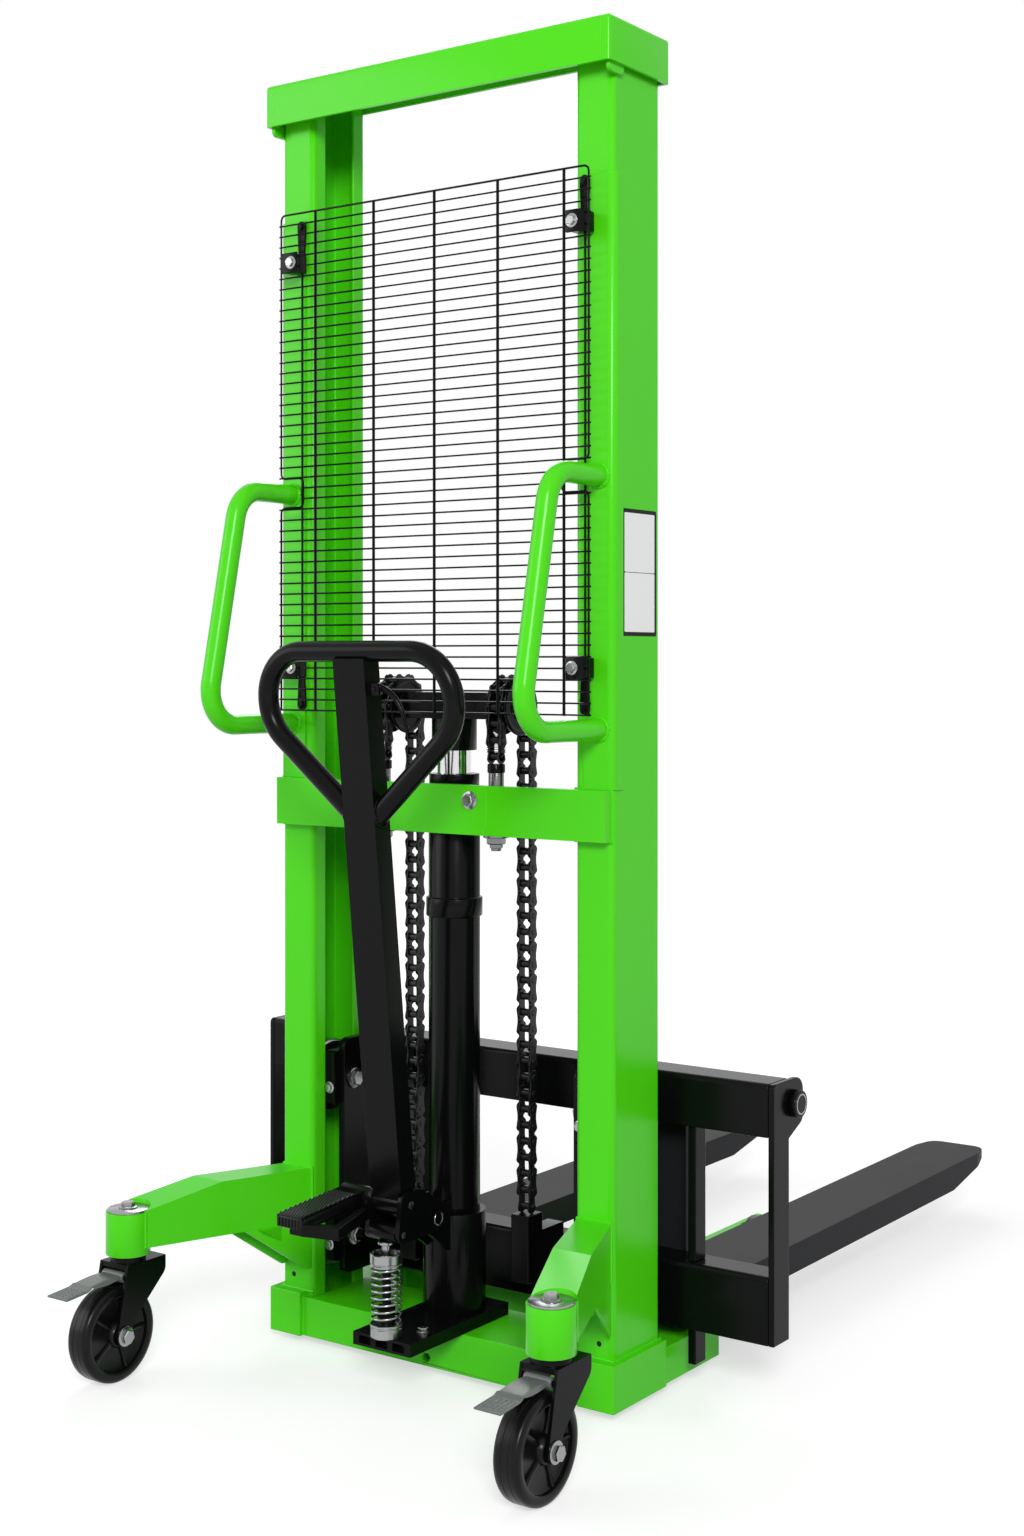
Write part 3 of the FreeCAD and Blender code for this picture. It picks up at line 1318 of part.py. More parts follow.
# Fork shaft: a plain bar through the end plates, with a collar outside each
collar_end = carriage_half_width + shaft_collar
shaft_bars = [rod("X", shaft_radius, (-collar_end, collar_end), (shaft_y, shaft_z))]
for side in (-1, 1):
    shaft_bars.append(
        rod("X", shaft_collar_radius, both(side, carriage_half_width, collar_end), (shaft_y, shaft_z))
    )
node("fork_shaft", fuse(*shaft_bars))

# Forks: a shank hung on the shaft by an eye, and a hollow blade open below with a tapered, ramped tip
fork_bottom = fork_top - fork_height
for name, side in (("left_fork", -1), ("right_fork", 1)):
    middle = fork_x * side
    half = fork_width / 2
    half_tip = fork_tip_width / 2
    span = (middle - half, middle + half)
    shank_front = shank_rear + fork_shank
    blade = profile("XY", [
        (middle - half, shank_rear),
        (middle + half, shank_rear),
        (middle + half, fork_tip - fork_taper, fork_taper),
        (middle + half_tip, fork_tip, half_tip / 2),
        (middle - half_tip, fork_tip, half_tip / 2),
        (middle - half, fork_tip - fork_taper, fork_taper),
    ], (fork_bottom, fork_top))
    inner_half = half - fork_wall
    inner_tip = half_tip - fork_wall / 2
    hollow = profile("XY", [
        (middle - inner_half, shank_front),
        (middle + inner_half, shank_front),
        (middle + inner_half, fork_tip - fork_taper),
        (middle + inner_tip, fork_tip - fork_wall * 2),
        (middle - inner_tip, fork_tip - fork_wall * 2),
        (middle - inner_half, fork_tip - fork_taper),
    ], (fork_bottom - plate, fork_top - fork_wall))
    ramp = profile("YZ", [
        (fork_tip - fork_ramp, fork_bottom - plate),
        (fork_tip + plate, fork_bottom - plate),
        (fork_tip + plate, fork_top - fork_nose),
        (fork_tip, fork_top - fork_nose),
        (fork_tip - fork_ramp, fork_bottom),
    ], span)
    shank = block(span, (shank_rear, shank_front), (fork_bottom, shaft_z + shaft_radius))
    eye = rod("X", fork_eye_radius, span, (shaft_y, shaft_z))
    web = block(span, (shaft_y, shank_front), (shaft_z - shaft_radius, shaft_z + shaft_radius))
    bore = rod(
        "X", shaft_radius + fork_eye_play, (middle - half - plate, middle + half + plate), (shaft_y, shaft_z)
    )
    node(name, cut(fuse(cut(blade, hollow, ramp), shank, eye, web), bore))

# Castors: a forked leg on a stem, a wheel on its axle and a foot brake hinged behind the stem
wheel_y = -castor_y - wheel_trail
leg_inner = wheel_width / 2 + castor_leg_gap
leg_outer = leg_inner + castor_leg
crown_bottom = castor_height - castor_plate_thickness * 2
crown_top = castor_height - castor_plate_thickness
crown_front = -castor_y + castor_crown_front
crown_rear = -castor_y - castor_crown_rear
for name, side in (("left", -1), ("right", 1)):
    middle = castor_x * side
    leg_shape = [
        (crown_front, crown_top),
        (crown_front, crown_bottom - castor_leg_foot, castor_leg_foot),
        (wheel_y + castor_leg_foot, wheel_radius + castor_leg_foot, castor_leg_foot * 2),
        (wheel_y + castor_leg_foot, wheel_radius - castor_leg_foot, castor_leg_foot * 0.9),
        (wheel_y - castor_leg_foot, wheel_radius - castor_leg_foot, castor_leg_foot * 0.9),
        (wheel_y - castor_leg_foot, wheel_radius),
        (crown_rear, crown_top),
    ]
    stem_at = (middle, -castor_y)
    leg_pieces = [
        profile("YZ", leg_shape, (middle + low, middle + high))
        for low, high in ((-leg_outer, -leg_inner), (leg_inner, leg_outer))
    ]
    leg_pieces.append(block(
        (middle - leg_outer, middle + leg_outer),
        (crown_rear, crown_front),
        (crown_bottom, crown_top),
    ))
    leg_pieces.append(rod("Z", boss_radius * 0.8, (crown_top, castor_height), stem_at))
    leg_pieces.append(rod("Z", castor_stem_radius, (crown_bottom, boss_top + side_play), stem_at))
    leg_pieces.append(rod("Z", boss_radius * 0.88, (boss_top + side_play, boss_top + plate / 2), stem_at))
    axle_at = (wheel_y, wheel_radius)
    leg_pieces.append(rod("X", wheel_axle_radius, (middle - leg_outer, middle + leg_outer), axle_at))
    brake_at = (-castor_y - brake_pivot_back, brake_pivot_z)
    leg_pieces.append(rod("X", brake_pin_radius, (middle - leg_outer, middle + leg_outer), brake_at))
    node(f"{name}_castor_fork", fuse(*leg_pieces))
    half = wheel_width / 2
    tyre = wheel_radius * 0.77
    outline = [
        (wheel_axle_radius + running_fit, -half),
        (wheel_radius * 0.3, -half),
        (wheel_radius * 0.3, -half / 2),
        (tyre, -half / 2),
        (tyre, -half * 0.9),
        (wheel_radius * 0.95, -half * 0.9),
        (wheel_radius, -half * 0.7),
        (wheel_radius, half * 0.7),
        (wheel_radius * 0.95, half * 0.9),
        (tyre, half * 0.9),
        (tyre, half / 2),
        (wheel_radius * 0.3, half / 2),
        (wheel_radius * 0.3, half),
        (wheel_axle_radius + running_fit, half),
    ]
    node(f"{name}_castor_wheel", turned_at(outline, "X", middle, wheel_y, wheel_radius))
    brake_span = (middle - brake_width / 2, middle + brake_width / 2)
    pedal = [
        (brake_at[0], brake_pivot_z + brake_pin_radius),
        (brake_at[0], brake_pivot_z - brake_pin_radius),
        (-brake_reach, brake_pivot_z - brake_thickness / 2),
        (-brake_reach, brake_pivot_z + brake_thickness / 2),
    ]
    brake_pieces = [
        profile("YZ", pedal, brake_span),
        rod("X", brake_pin_radius * 2, brake_span, brake_at),
    ]
    brake_bore = rod(
        "X", brake_pin_radius + running_fit, (middle - leg_outer, middle + leg_outer), brake_at
    )
    node(f"{name}_castor_brake", cut(fuse(*brake_pieces), brake_bore))

doc.recompute()
for obj in doc.Objects:
    if "Invalid" in obj.State or "Error" in obj.State:
        raise ValueError(f"{obj.Label} could not be made")
for name, obj in nodes.items():
    if obj.Shape.isNull() or not obj.Shape.isValid():
        raise ValueError(f"{name} has no valid shape")

os.makedirs("parts", exist_ok=True)
for name, obj in nodes.items():
    obj.Shape.exportStep(f"parts/{name}.step")
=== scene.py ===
from math import cos, pi, radians, sin
import bmesh
import bpy
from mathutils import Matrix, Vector


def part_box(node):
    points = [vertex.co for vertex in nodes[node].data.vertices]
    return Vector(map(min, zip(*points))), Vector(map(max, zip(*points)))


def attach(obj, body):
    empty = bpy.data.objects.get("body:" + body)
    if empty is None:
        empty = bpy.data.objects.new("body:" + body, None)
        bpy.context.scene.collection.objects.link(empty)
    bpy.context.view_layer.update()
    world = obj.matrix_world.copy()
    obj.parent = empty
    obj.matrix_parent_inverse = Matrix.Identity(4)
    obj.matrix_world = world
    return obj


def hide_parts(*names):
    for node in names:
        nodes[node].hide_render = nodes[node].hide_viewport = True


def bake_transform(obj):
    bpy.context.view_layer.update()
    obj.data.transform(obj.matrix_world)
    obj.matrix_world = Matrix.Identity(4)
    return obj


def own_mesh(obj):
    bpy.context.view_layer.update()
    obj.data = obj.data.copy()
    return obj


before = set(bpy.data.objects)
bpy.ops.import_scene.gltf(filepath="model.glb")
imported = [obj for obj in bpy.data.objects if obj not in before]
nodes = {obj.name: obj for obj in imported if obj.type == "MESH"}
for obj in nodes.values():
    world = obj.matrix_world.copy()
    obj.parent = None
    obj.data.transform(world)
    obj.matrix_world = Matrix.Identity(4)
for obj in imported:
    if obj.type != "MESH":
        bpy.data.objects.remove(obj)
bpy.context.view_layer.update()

# Base frame, support legs and load rollers: folded steel plate, welded into one frame and powder coated, so
# its edges are soft, the coat has a fine orange peel and each seam a rippled bead. The rollers are dark
# polymer and turn on axles through the legs' forked ends.


def set_sockets(node, **values):
    """Gives a shading node's sockets their values; an underscore in a name stands for a space."""
    for name, value in values.items():
        node.inputs[name.replace("_", " ")].default_value = value


def sum_node(tree, operation, *numbers):
    """A node that works out a sum; each number comes with the socket that it stands on."""
    node = tree.nodes.new("ShaderNodeMath")
    node.operation = operation
    for socket, number in numbers:
        node.inputs[socket].default_value = number
    return node


def wire_nodes(tree, *wires):
    """Links shading nodes: a wire goes from a node's output to another node's input."""
    for source, given, target, taken in wires:
        tree.links.new(source.outputs[given], target.inputs[taken])


def surface_group():
    """A shared finish: a colour that drifts a little, an uneven roughness and a fine grain in the normal."""
    tree = bpy.data.node_groups.new("FineSurface", "ShaderNodeTree")
    face = tree.interface
    face.new_socket("Colour", in_out="INPUT", socket_type="NodeSocketColor")
    levels = {"Drift": 0.06, "Grain": 700.0, "Depth": 0.1, "Roughness": 0.4, "Uneven": 0.08}
    for name, value in levels.items():
        socket = face.new_socket(name, in_out="INPUT", socket_type="NodeSocketFloat")
        socket.default_value = value
    face.new_socket("Colour", in_out="OUTPUT", socket_type="NodeSocketColor")
    face.new_socket("Roughness", in_out="OUTPUT", socket_type="NodeSocketFloat")
    face.new_socket("Normal", in_out="OUTPUT", socket_type="NodeSocketVector")
    make = tree.nodes.new
    given = make("NodeGroupInput")
    out = make("NodeGroupOutput")
    place = make("ShaderNodeTexCoord")
    cloud = make("ShaderNodeTexNoise")
    set_sockets(cloud, Scale=5.0, Detail=5.0)
    centred = sum_node(tree, "SUBTRACT", (1, 0.5))
    drift = sum_node(tree, "MULTIPLY_ADD", (2, 1.0))
    tint = make("ShaderNodeHueSaturation")
    smear = sum_node(tree, "MULTIPLY_ADD")
    peel = make("ShaderNodeTexNoise")
    set_sockets(peel, Detail=2.0)
    bump = make("ShaderNodeBump")
    set_sockets(bump, Distance=0.0006)
    wire_nodes(
        tree, (place, "Object", cloud, "Vector"), (cloud, "Fac", centred, 0),
        (centred, 0, drift, 0), (given, "Drift", drift, 1), (drift, 0, tint, "Value"),
        (given, "Colour", tint, "Color"), (tint, "Color", out, "Colour"),
        (centred, 0, smear, 0), (given, "Uneven", smear, 1), (given, "Roughness", smear, 2),
        (smear, 0, out, "Roughness"), (place, "Object", peel, "Vector"), (given, "Grain", peel, "Scale"),
        (given, "Depth", bump, "Strength"), (peel, "Fac", bump, "Height"), (bump, "Normal", out, "Normal"),
    )
    return tree


fine_surface = surface_group()


def finish_material(name, colour, roughness, metallic=0.0, specular=0.5, **grain):
    """A material on the shared finish."""
    material = bpy.data.materials.new(name)
    material.use_nodes = True
    tree = material.node_tree
    shader = tree.nodes["Principled BSDF"]
    finish = tree.nodes.new("ShaderNodeGroup")
    finish.node_tree = fine_surface
    set_sockets(finish, Colour=(*colour, 1.0), Roughness=roughness, **grain)
    set_sockets(shader, Metallic=metallic, Specular_IOR_Level=specular)
    for given, taken in (("Colour", "Base Color"), ("Roughness", "Roughness"), ("Normal", "Normal")):
        wire_nodes(tree, (finish, given, shader, taken))
    return material


def dress(material, names, edge=0.0, joined=True):
    """Gives CAD nodes a material and, where an edge is stated, joined flat faces and soft edges."""
    for name in names:
        piece = nodes[name]
        for place in piece.material_slots:
            place.material = material
        if not piece.material_slots:
            piece.data.materials.append(material)
        if edge:
            weld = piece.modifiers.new("Weld", "WELD")
            weld.merge_threshold = 0.00002
            if joined:
                flat = piece.modifiers.new("Faces", "DECIMATE")
                flat.decimate_type = "DISSOLVE"
                flat.angle_limit = radians(0.6)
            soften = piece.modifiers.new("Edges", "BEVEL")
            soften.width = edge
            soften.segments = 2
            soften.limit_method = "ANGLE"
            soften.angle_limit = radians(40)
            soften.harden_normals = True
            soften.use_clamp_overlap = joined


def add_object(name, data):
    """An object made from its data and put in the scene."""
    added = bpy.data.objects.new(name, data)
    bpy.context.scene.collection.objects.link(added)
    return added


def new_piece(name, form, material, body="chassis"):
    """A piece from a bmesh, smooth where its faces meet at a flat angle, riding on a body if it has one."""
    bmesh.ops.recalc_face_normals(form, faces=form.faces)
    for face in form.faces:
        face.smooth = True
    for edge in form.edges:
        edge.smooth = len(edge.link_faces) == 2 and edge.calc_face_angle() < radians(40)
    mesh = bpy.data.meshes.new(name)
    form.to_mesh(mesh)
    form.free()
    mesh.materials.append(material)
    piece = add_object(name, mesh)
    if body:
        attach(piece, body)
    return piece


def bridge(form, rings):
    """Quads, or triangles at a tip, between rings of points, each ring closed."""
    for low, high in zip(rings, rings[1:]):
        count = max(len(low), len(high))
        for step in range(count):
            after = (step + 1) % count
            corners = [low[step % len(low)], low[after % len(low)]]
            corners += [high[after % len(high)], high[step % len(high)]]
            form.faces.new(list(dict.fromkeys(corners)))


def skin(form, outlines):
    """Walls through closed outlines of points, with a face over each end."""
    rings = [[form.verts.new(point) for point in outline] for outline in outlines]
    bridge(form, rings)
    form.faces.new(rings[0])
    form.faces.new(rings[-1])


def arc(first, last, steps):
    """The cosine and sine of every even step between two angles in degrees."""
    turns = [radians(first + (last - first) * step / steps) for step in range(steps + 1)]
    return [(cos(turn), sin(turn)) for turn in turns]


def sweep(form, route, radii, sides=8):
    """A closed-ended tube along a route, with one radius for each of its points."""
    circle = arc(0, 360, sides)[:-1]
    rings = []
    aside = None
    for step, point in enumerate(route):
        way = (route[min(step + 1, len(route) - 1)] - route[max(step - 1, 0)]).normalized()
        aside = aside or way.orthogonal()
        aside = (aside - way * aside.dot(way)).normalized()
        above = way.cross(aside)
        rings.append([point + (aside * near + above * up) * radii[step] for near, up in circle])
    skin(form, rings)


def bead(form, route, radius):
    """A rippled bead of weld along straight runs."""
    route = [Vector(place) for place in route]
    points = route[:1]
    for start, stop in zip(route, route[1:]):
        steps = max(2, round((stop - start).length / radius))
        points += [start.lerp(stop, step / steps) for step in range(1, steps + 1)]
    ripples = [1.0 + 0.13 * sin(step * 2.1) + 0.07 * sin(step * 5.3) for step in range(len(points))]
    sweep(form, points, [radius * ripple for ripple in ripples], 6)


green = (0.075, 0.672, 0.006)
green_paint = finish_material("green_paint", green, 0.25, specular=0.2, Depth=0.06, Drift=0.05)
dress(green_paint, ["base_frame"], 0.0022, joined=False)
dress(green_paint, ["left_support_leg", "right_support_leg"], 0.002)
roller_polymer = finish_material("roller_polymer", (0.012, 0.012, 0.013), 0.5, Depth=0.15, Grain=500.0)
dress(roller_polymer, ["left_load_roller", "right_load_roller"], 0.003)
mast_low, mast_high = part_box("right_upright")
mast_rear = mast_low[1]
sleeve_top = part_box("base_frame")[1][2]
foot_welds = bmesh.new()
for side in (-1, 1):
    outside = side * mast_high[0]
    line = [(outside, mast_high[1]), (outside, mast_rear), (side * mast_low[0], mast_rear)]
    bead(foot_welds, [(x, y, sleeve_top) for x, y in line], 0.0022)
new_piece("foot_welds", foot_welds, green_paint)

# Mast: steel channel uprights with corner plates, a folded top beam and a crossbar, all in the green coat.
# The crossbar has weld at both ends, a seam beside each chain anchor and a bolt that locks the anchor. Each
# upright has a tapped hole at its foot, drawn as a dark disc of painted shade for the hole's depth.


def lathe(form, outline, centre, axis, sides=28, bored=False):
    """A turned piece: its outline has a radius and a place along the axis for each ring."""
    along = Vector(axis).normalized()
    aside = along.orthogonal().normalized()
    above = along.cross(aside)
    spokes = [aside * near + above * up for near, up in arc(0, 360, sides)[:-1]]
    rings = []
    for radius, reach in outline:
        middle = Vector(centre) + along * reach
        ring = [middle + spoke * radius for spoke in spokes] if radius else [middle]
        rings.append([form.verts.new(point) for point in ring])
    bridge(form, rings + rings[:1] if bored else rings)


def hex_bolt(form, centre, axis, size):
    """A washer and a chamfered hexagon head; the size is the head's radius over its corners."""
    washer = [(0, 0), (1.35, 0), (1.35, 0.2), (1.25, 0.26), (0, 0.26)]
    head = [(0, 0.2), (1, 0.2), (1, 0.8), (0.87, 0.92), (0, 0.92)]
    for outline, sides in ((washer, 28), (head, 6)):
        lathe(form, [(radius * size, reach * size) for radius, reach in outline], centre, axis, sides)


def round_edges(form, radius, steps, least=0.0):
    """Rounds the edges at which two faces meet at more than the least angle."""
    bmesh.ops.recalc_face_normals(form, faces=form.faces)
    sharp = [edge for edge in form.edges if len(edge.link_faces) == 2 and edge.calc_face_angle() > least]
    bmesh.ops.bevel(form, geom=sharp, offset=radius, segments=steps, profile=0.5, affect="EDGES")


def panel(form, y_span, z_span, x_low, x_high, corner):
    """A thin upright panel with rounded corners, facing along +X."""
    outline = []
    for turn_from, y, z in (
        (0, y_span[1] - corner, z_span[1] - corner), (90, y_span[0] + corner, z_span[1] - corner),
        (180, y_span[0] + corner, z_span[0] + corner), (270, y_span[1] - corner, z_span[0] + corner),
    ):
        outline += [(y + back * corner, z + up * corner) for back, up in arc(turn_from, turn_from + 90, 4)]
    skin(form, [[(x, y, z) for y, z in outline] for x in (x_low, x_high)])


dress(green_paint, ["left_upright", "right_upright"], 0.0025)
dress(green_paint, ["upright_corner_plates"], 0.001)
dress(green_paint, ["crossbar"], 0.003)
beam_low, beam_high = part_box("top_beam")
beam_wall = 0.006
beam_bend = 0.006
front_relief = 0.047
front_foot = beam_low[2] + front_relief
inner_x = mast_low[0] + 0.018
cap = bmesh.new()
corners = {}


def beam_face(*points):
    """One flat wall of the cap beam, sharing its corners with the walls beside it."""
    ring = []
    for point in points:
        if point not in corners:
            corners[point] = cap.verts.new(point)
        ring.append(corners[point])
    cap.faces.new(ring)


end, rear, foot = beam_high[0], beam_low[1], beam_low[2]
front, crown = beam_high[1], beam_high[2]
beam_face((-end, rear, foot), (end, rear, foot), (end, rear, crown), (-end, rear, crown))
beam_face((-end, rear, crown), (end, rear, crown), (end, front, crown), (inner_x, front, crown),
          (-inner_x, front, crown), (-end, front, crown))
beam_face((inner_x, front, front_foot), (-inner_x, front, front_foot), (-inner_x, front, crown),
          (inner_x, front, crown))
for side in (-1, 1):
    outer = side * end
    inner = side * inner_x
    beam_face((outer, rear, foot), (outer, front, foot), (outer, front, crown), (outer, rear, crown))
    beam_face((outer, front, foot), (inner, front, foot), (inner, front, front_foot), (inner, front, crown),
              (outer, front, crown))
round_edges(cap, beam_bend, 4, least=1.0)
cap_beam = new_piece("cap_beam", cap, green_paint)
sheet = cap_beam.modifiers.new("Sheet", "SOLIDIFY")
sheet.thickness = beam_wall
sheet.offset = -1
sheet.use_even_offset = True
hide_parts("top_beam")
tab_half = 0.020
tab_z = (foot - 0.014, foot + 0.006)
cap_seams = bmesh.new()
for side in (-1, 1):
    seam = Vector((side * (end - 0.015), rear, 0))
    bead(cap_seams, [seam + Vector((0, 0, foot + 0.003)), seam + Vector((0, 0, crown - beam_bend))], 0.0009)
    tab_x = sorted((side * 0.3272, side * 0.3330))
    panel(cap_seams, (mast_rear - tab_half, mast_rear + tab_half), tab_z, tab_x[0], tab_x[1], 0.009)
new_piece("cap_seams", cap_seams, green_paint)
zinc = finish_material("bright_steel", (0.33, 0.334, 0.34), 0.24, metallic=1.0, Depth=0.05, Drift=0.3)
bar_low, bar_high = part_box("crossbar")
seam_x = 0.106
lock_x = 0.0755
lock_z = bar_high[2] - 0.023
bar_welds = bmesh.new()
lock_bolts = bmesh.new()
for side in (-1, 1):
    outside = side * bar_high[0]
    inside = side * mast_low[0]
    line = [(inside, bar_high[2]), (outside, bar_high[2]), (outside, bar_low[2]), (inside, bar_low[2])]
    bead(bar_welds, [(x, mast_rear, z) for x, z in line], 0.003)
    line = [(seam_x, bar_high[2] - 0.003), (seam_x, bar_low[2] + 0.02), (seam_x - 0.006, bar_low[2] + 0.003)]
    bead(bar_welds, [(side * x, bar_low[1], z) for x, z in line], 0.0012)
    hex_bolt(lock_bolts, (side * lock_x, bar_low[1], lock_z), (0, -1, 0), 0.0105)
new_piece("crossbar_welds", bar_welds, green_paint)
new_piece("crossbar_bolts", lock_bolts, zinc)
# Each tapped hole is a dark disc on the coat: painted shade standing in for the hole's depth.
hole_x = 0.302
hole_z = 0.1085
hole_outline = [(0, 0.0004), (0.0038, 0.0004), (0.0042, 0), (0.0042, -0.001), (0, -0.001)]
tapped = bmesh.new()
for side in (-1, 1):
    lathe(tapped, hole_outline, (side * hole_x, mast_rear, hole_z), (0, -1, 0), 20)
hole_shade = finish_material("hole_shade", (0.004, 0.012, 0.003), 0.6, specular=0.1)
new_piece("tapped_hole_shade", tapped, hole_shade)

# Grab handles: steel tube, bent to three sides, in the green coat.
# A ring of weld holds each end on the mast's corner plates.
dress(green_paint, ["left_grab_handle", "right_grab_handle"])
tube_radius = 0.016
weld_radius = tube_radius + 0.0008
handle_welds = bmesh.new()
for name in ("left_grab_handle", "right_grab_handle"):
    low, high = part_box(name)
    for height in (low[2] + tube_radius, high[2] - tube_radius):
        foot = Vector(((low[0] + high[0]) / 2, high[1] - 0.001, height))
        ring = [foot + Vector((out, 0, up)) * weld_radius for out, up in arc(0, 360, 32)]
        bead(handle_welds, ring, 0.0032)
new_piece("handle_welds", handle_welds, green_paint)

# Castor arms: steel box arms with bosses and three-cornered gussets, in the green coat.
# They are welded round the root on the upright and down both sides of the boss.
dress(green_paint, ["left_castor_arm", "right_castor_arm"], 0.003)
arm_low, arm_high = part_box("right_castor_arm")
boss_radius = 0.035
boss_x = arm_high[0] - boss_radius
boss_y = arm_low[1] + boss_radius
boss_top = 0.259
arm_width = 0.060
arm_bottom = 0.203
root_out = mast_high[0] - 0.004
root_in = root_out - arm_width
arm_welds = bmesh.new()
for side in (-1, 1):
    line = [(root_in, arm_bottom), (root_in, arm_high[2]), (root_out, arm_high[2]), (root_out, arm_bottom)]
    bead(arm_welds, [(side * x, mast_rear, z) for x, z in line], 0.0032)
    boss = Vector((side * boss_x, boss_y, 0.0))
    back = (Vector((side * (root_out - arm_width / 2), mast_rear, 0.0)) - boss).normalized()
    across = Vector((-back.y, back.x, 0.0))
    for hand in (-1, 1):
        seam = boss + back * 0.0165 + across * (hand * 0.0315)
        bead(arm_welds, [seam + Vector((0, 0, arm_bottom + 0.001)), seam + Vector((0, 0, boss_top))], 0.0026)
new_piece("castor_arm_welds", arm_welds, green_paint)
gusset_foot = 0.124
gusset_outline = [(0, arm_bottom + 0.002), (0, gusset_foot), (0.008, gusset_foot), (0.112, arm_bottom)]
gusset_plate = 0.006
gussets = bmesh.new()
for side in (-1, 1):
    for root_x, tip_x, tip_y, inward in (
        (root_out, boss_x + arm_width / 2, boss_y + arm_width / 5, -1),
        (root_in, boss_x - arm_width / 2, boss_y - arm_width / 5, 1),
    ):
        splay = (tip_x - root_x) / (mast_rear - tip_y)
        rings = []
        for inset in (0.0, gusset_plate):
            ring = []
            for back, height in gusset_outline:
                x = root_x + splay * back + inward * inset
                ring.append((side * x, mast_rear - back, height))
            rings.append(ring)
        skin(gussets, rings)
round_edges(gussets, 0.0012, 2)
new_piece("arm_gussets", gussets, green_paint)

# Mesh guard: thin steel cross wires spot welded to thicker uprights, in black coat, with rounded corners at
# the top and a bay on each side round the grab handle. Clamps with ears hold it on the uprights, each clamp
# by a bright bolt.


def rounded(route, radius, steps=6):
    """A route whose inner corners are rounded off."""
    points = [route[0]]
    for before, corner, after in zip(route, route[1:], route[2:]):
        start = corner + (before - corner).normalized() * radius
        stop = corner + (after - corner).normalized() * radius
        for step in range(steps + 1):
            share = step / steps
            points.append(start.lerp(corner, share).lerp(corner.lerp(stop, share), share))
    return points + [route[-1]]


black_paint = finish_material(
    "black_paint", (0.0030, 0.0031, 0.0034), 0.2, specular=0.1, Depth=0.1, Grain=900.0, Drift=0.3
)
net_low, net_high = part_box("guard_mesh")
net_y = (net_low[1] + net_high[1]) / 2
wire = (net_high[1] - net_low[1]) / 2
post = 0.0024
rim_wire = 0.0017
post_shift = 0.015
post_pitch = 0.122
edge_x = net_high[0] - post
net_bottom = net_low[2] + wire
net_top = net_high[2] - wire
bay_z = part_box("right_grab_handle")[1][2] - tube_radius
bay = 0.024
bay_x = edge_x - bay * 2
cross_wires = 48
guard = bmesh.new()
for step in range(cross_wires - 1):
    height = net_bottom + (net_top - net_bottom) * step / (cross_wires - 1)
    reach = bay_x if abs(height - bay_z) < bay else edge_x + 0.0035
    ends = [Vector((-reach, net_y, height)), Vector((reach, net_y, height))]
    sweep(guard, ends, [wire * 0.85] * 2)
for step in (-2, -1, 0, 1, 2):
    x = post_shift + post_pitch * step
    sweep(guard, [Vector((x, net_y, net_low[2])), Vector((x, net_y, net_top))], [post] * 2)
side_line = [
    (edge_x, net_low[2]), (edge_x, bay_z - bay), (bay_x, bay_z - bay),
    (bay_x, bay_z + bay), (edge_x, bay_z + bay), (edge_x, net_top),
]
rim = [Vector((x, net_y, z)) for x, z in side_line]
rim += [Vector((-x, net_y, z)) for x, z in reversed(side_line)]
rim = rounded(rim, 0.01)
sweep(guard, rim, [rim_wire] * len(rim))
guard_net = new_piece("guard_net", guard, black_paint)
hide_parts("guard_mesh")
clamp_low, clamp_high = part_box("guard_clamps")
clamp_height = 0.034
clamp_in = clamp_high[0] - 0.046
clamp_out = clamp_in + 0.033
clamps = bmesh.new()
clamp_bolts = bmesh.new()
for side in (-1, 1):
    for middle in (clamp_low[2] + clamp_height / 2, clamp_high[2] - clamp_height / 2):
        for near, far, rear, front, grow in (
            (clamp_in, clamp_out, clamp_low[1], clamp_low[1] + 0.004, 0.0),
            (clamp_in + 0.003, clamp_out, clamp_low[1] + 0.0045, clamp_high[1], -0.002),
        ):
            half = clamp_height / 2 + grow
            ring = [(near, -half), (far, -half), (far, half), (near, half)]
            skin(clamps, [[(side * x, y, middle + up) for x, up in ring] for y in (rear, front)])
        hex_bolt(clamp_bolts, (side * (clamp_in + 0.012), clamp_low[1], middle), (0, -1, 0), 0.0078)
round_edges(clamps, 0.0013, 2)
strip_low, strip_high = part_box("guard_strips")
strip_x = strip_high[0] - 0.0025
ear_radius = 0.0085
rod_radius = 0.0016
ears = bmesh.new()
ear_bolts = bmesh.new()
for side in (-1, 1):
    for middle, far_end, way in (
        (clamp_high[2] - clamp_height / 2, strip_high[2] - 0.002, 1),
        (clamp_low[2] + clamp_height / 2, strip_low[2], -1),
    ):
        outline = [(-0.005, middle), (0.005, middle)]
        for out, up in arc(0, 180, 8):
            outline.append((ear_radius * out, far_end + way * ear_radius * (up - 1)))
        faces = (strip_low[1], strip_high[1])
        skin(ears, [[(side * strip_x + x, y, z) for x, z in outline] for y in faces])
        hex_bolt(ear_bolts, (side * strip_x, strip_low[1], far_end - way * 0.009), (0, -1, 0), 0.0048)
    rod_y = strip_high[1] - rod_radius
    rod = [Vector((side * strip_x, rod_y, height)) for height in (clamp_low[2], clamp_high[2])]
    sweep(ears, rod, [rod_radius] * 2)
guard_ears = new_piece("guard_ears", ears, black_paint)
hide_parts("guard_strips")
new_piece("ear_bolts", ear_bolts, black_paint)
net_clamps = new_piece("net_clamps", clamps, black_paint)
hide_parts("guard_clamps")
new_piece("clamp_bolts", clamp_bolts, zinc)

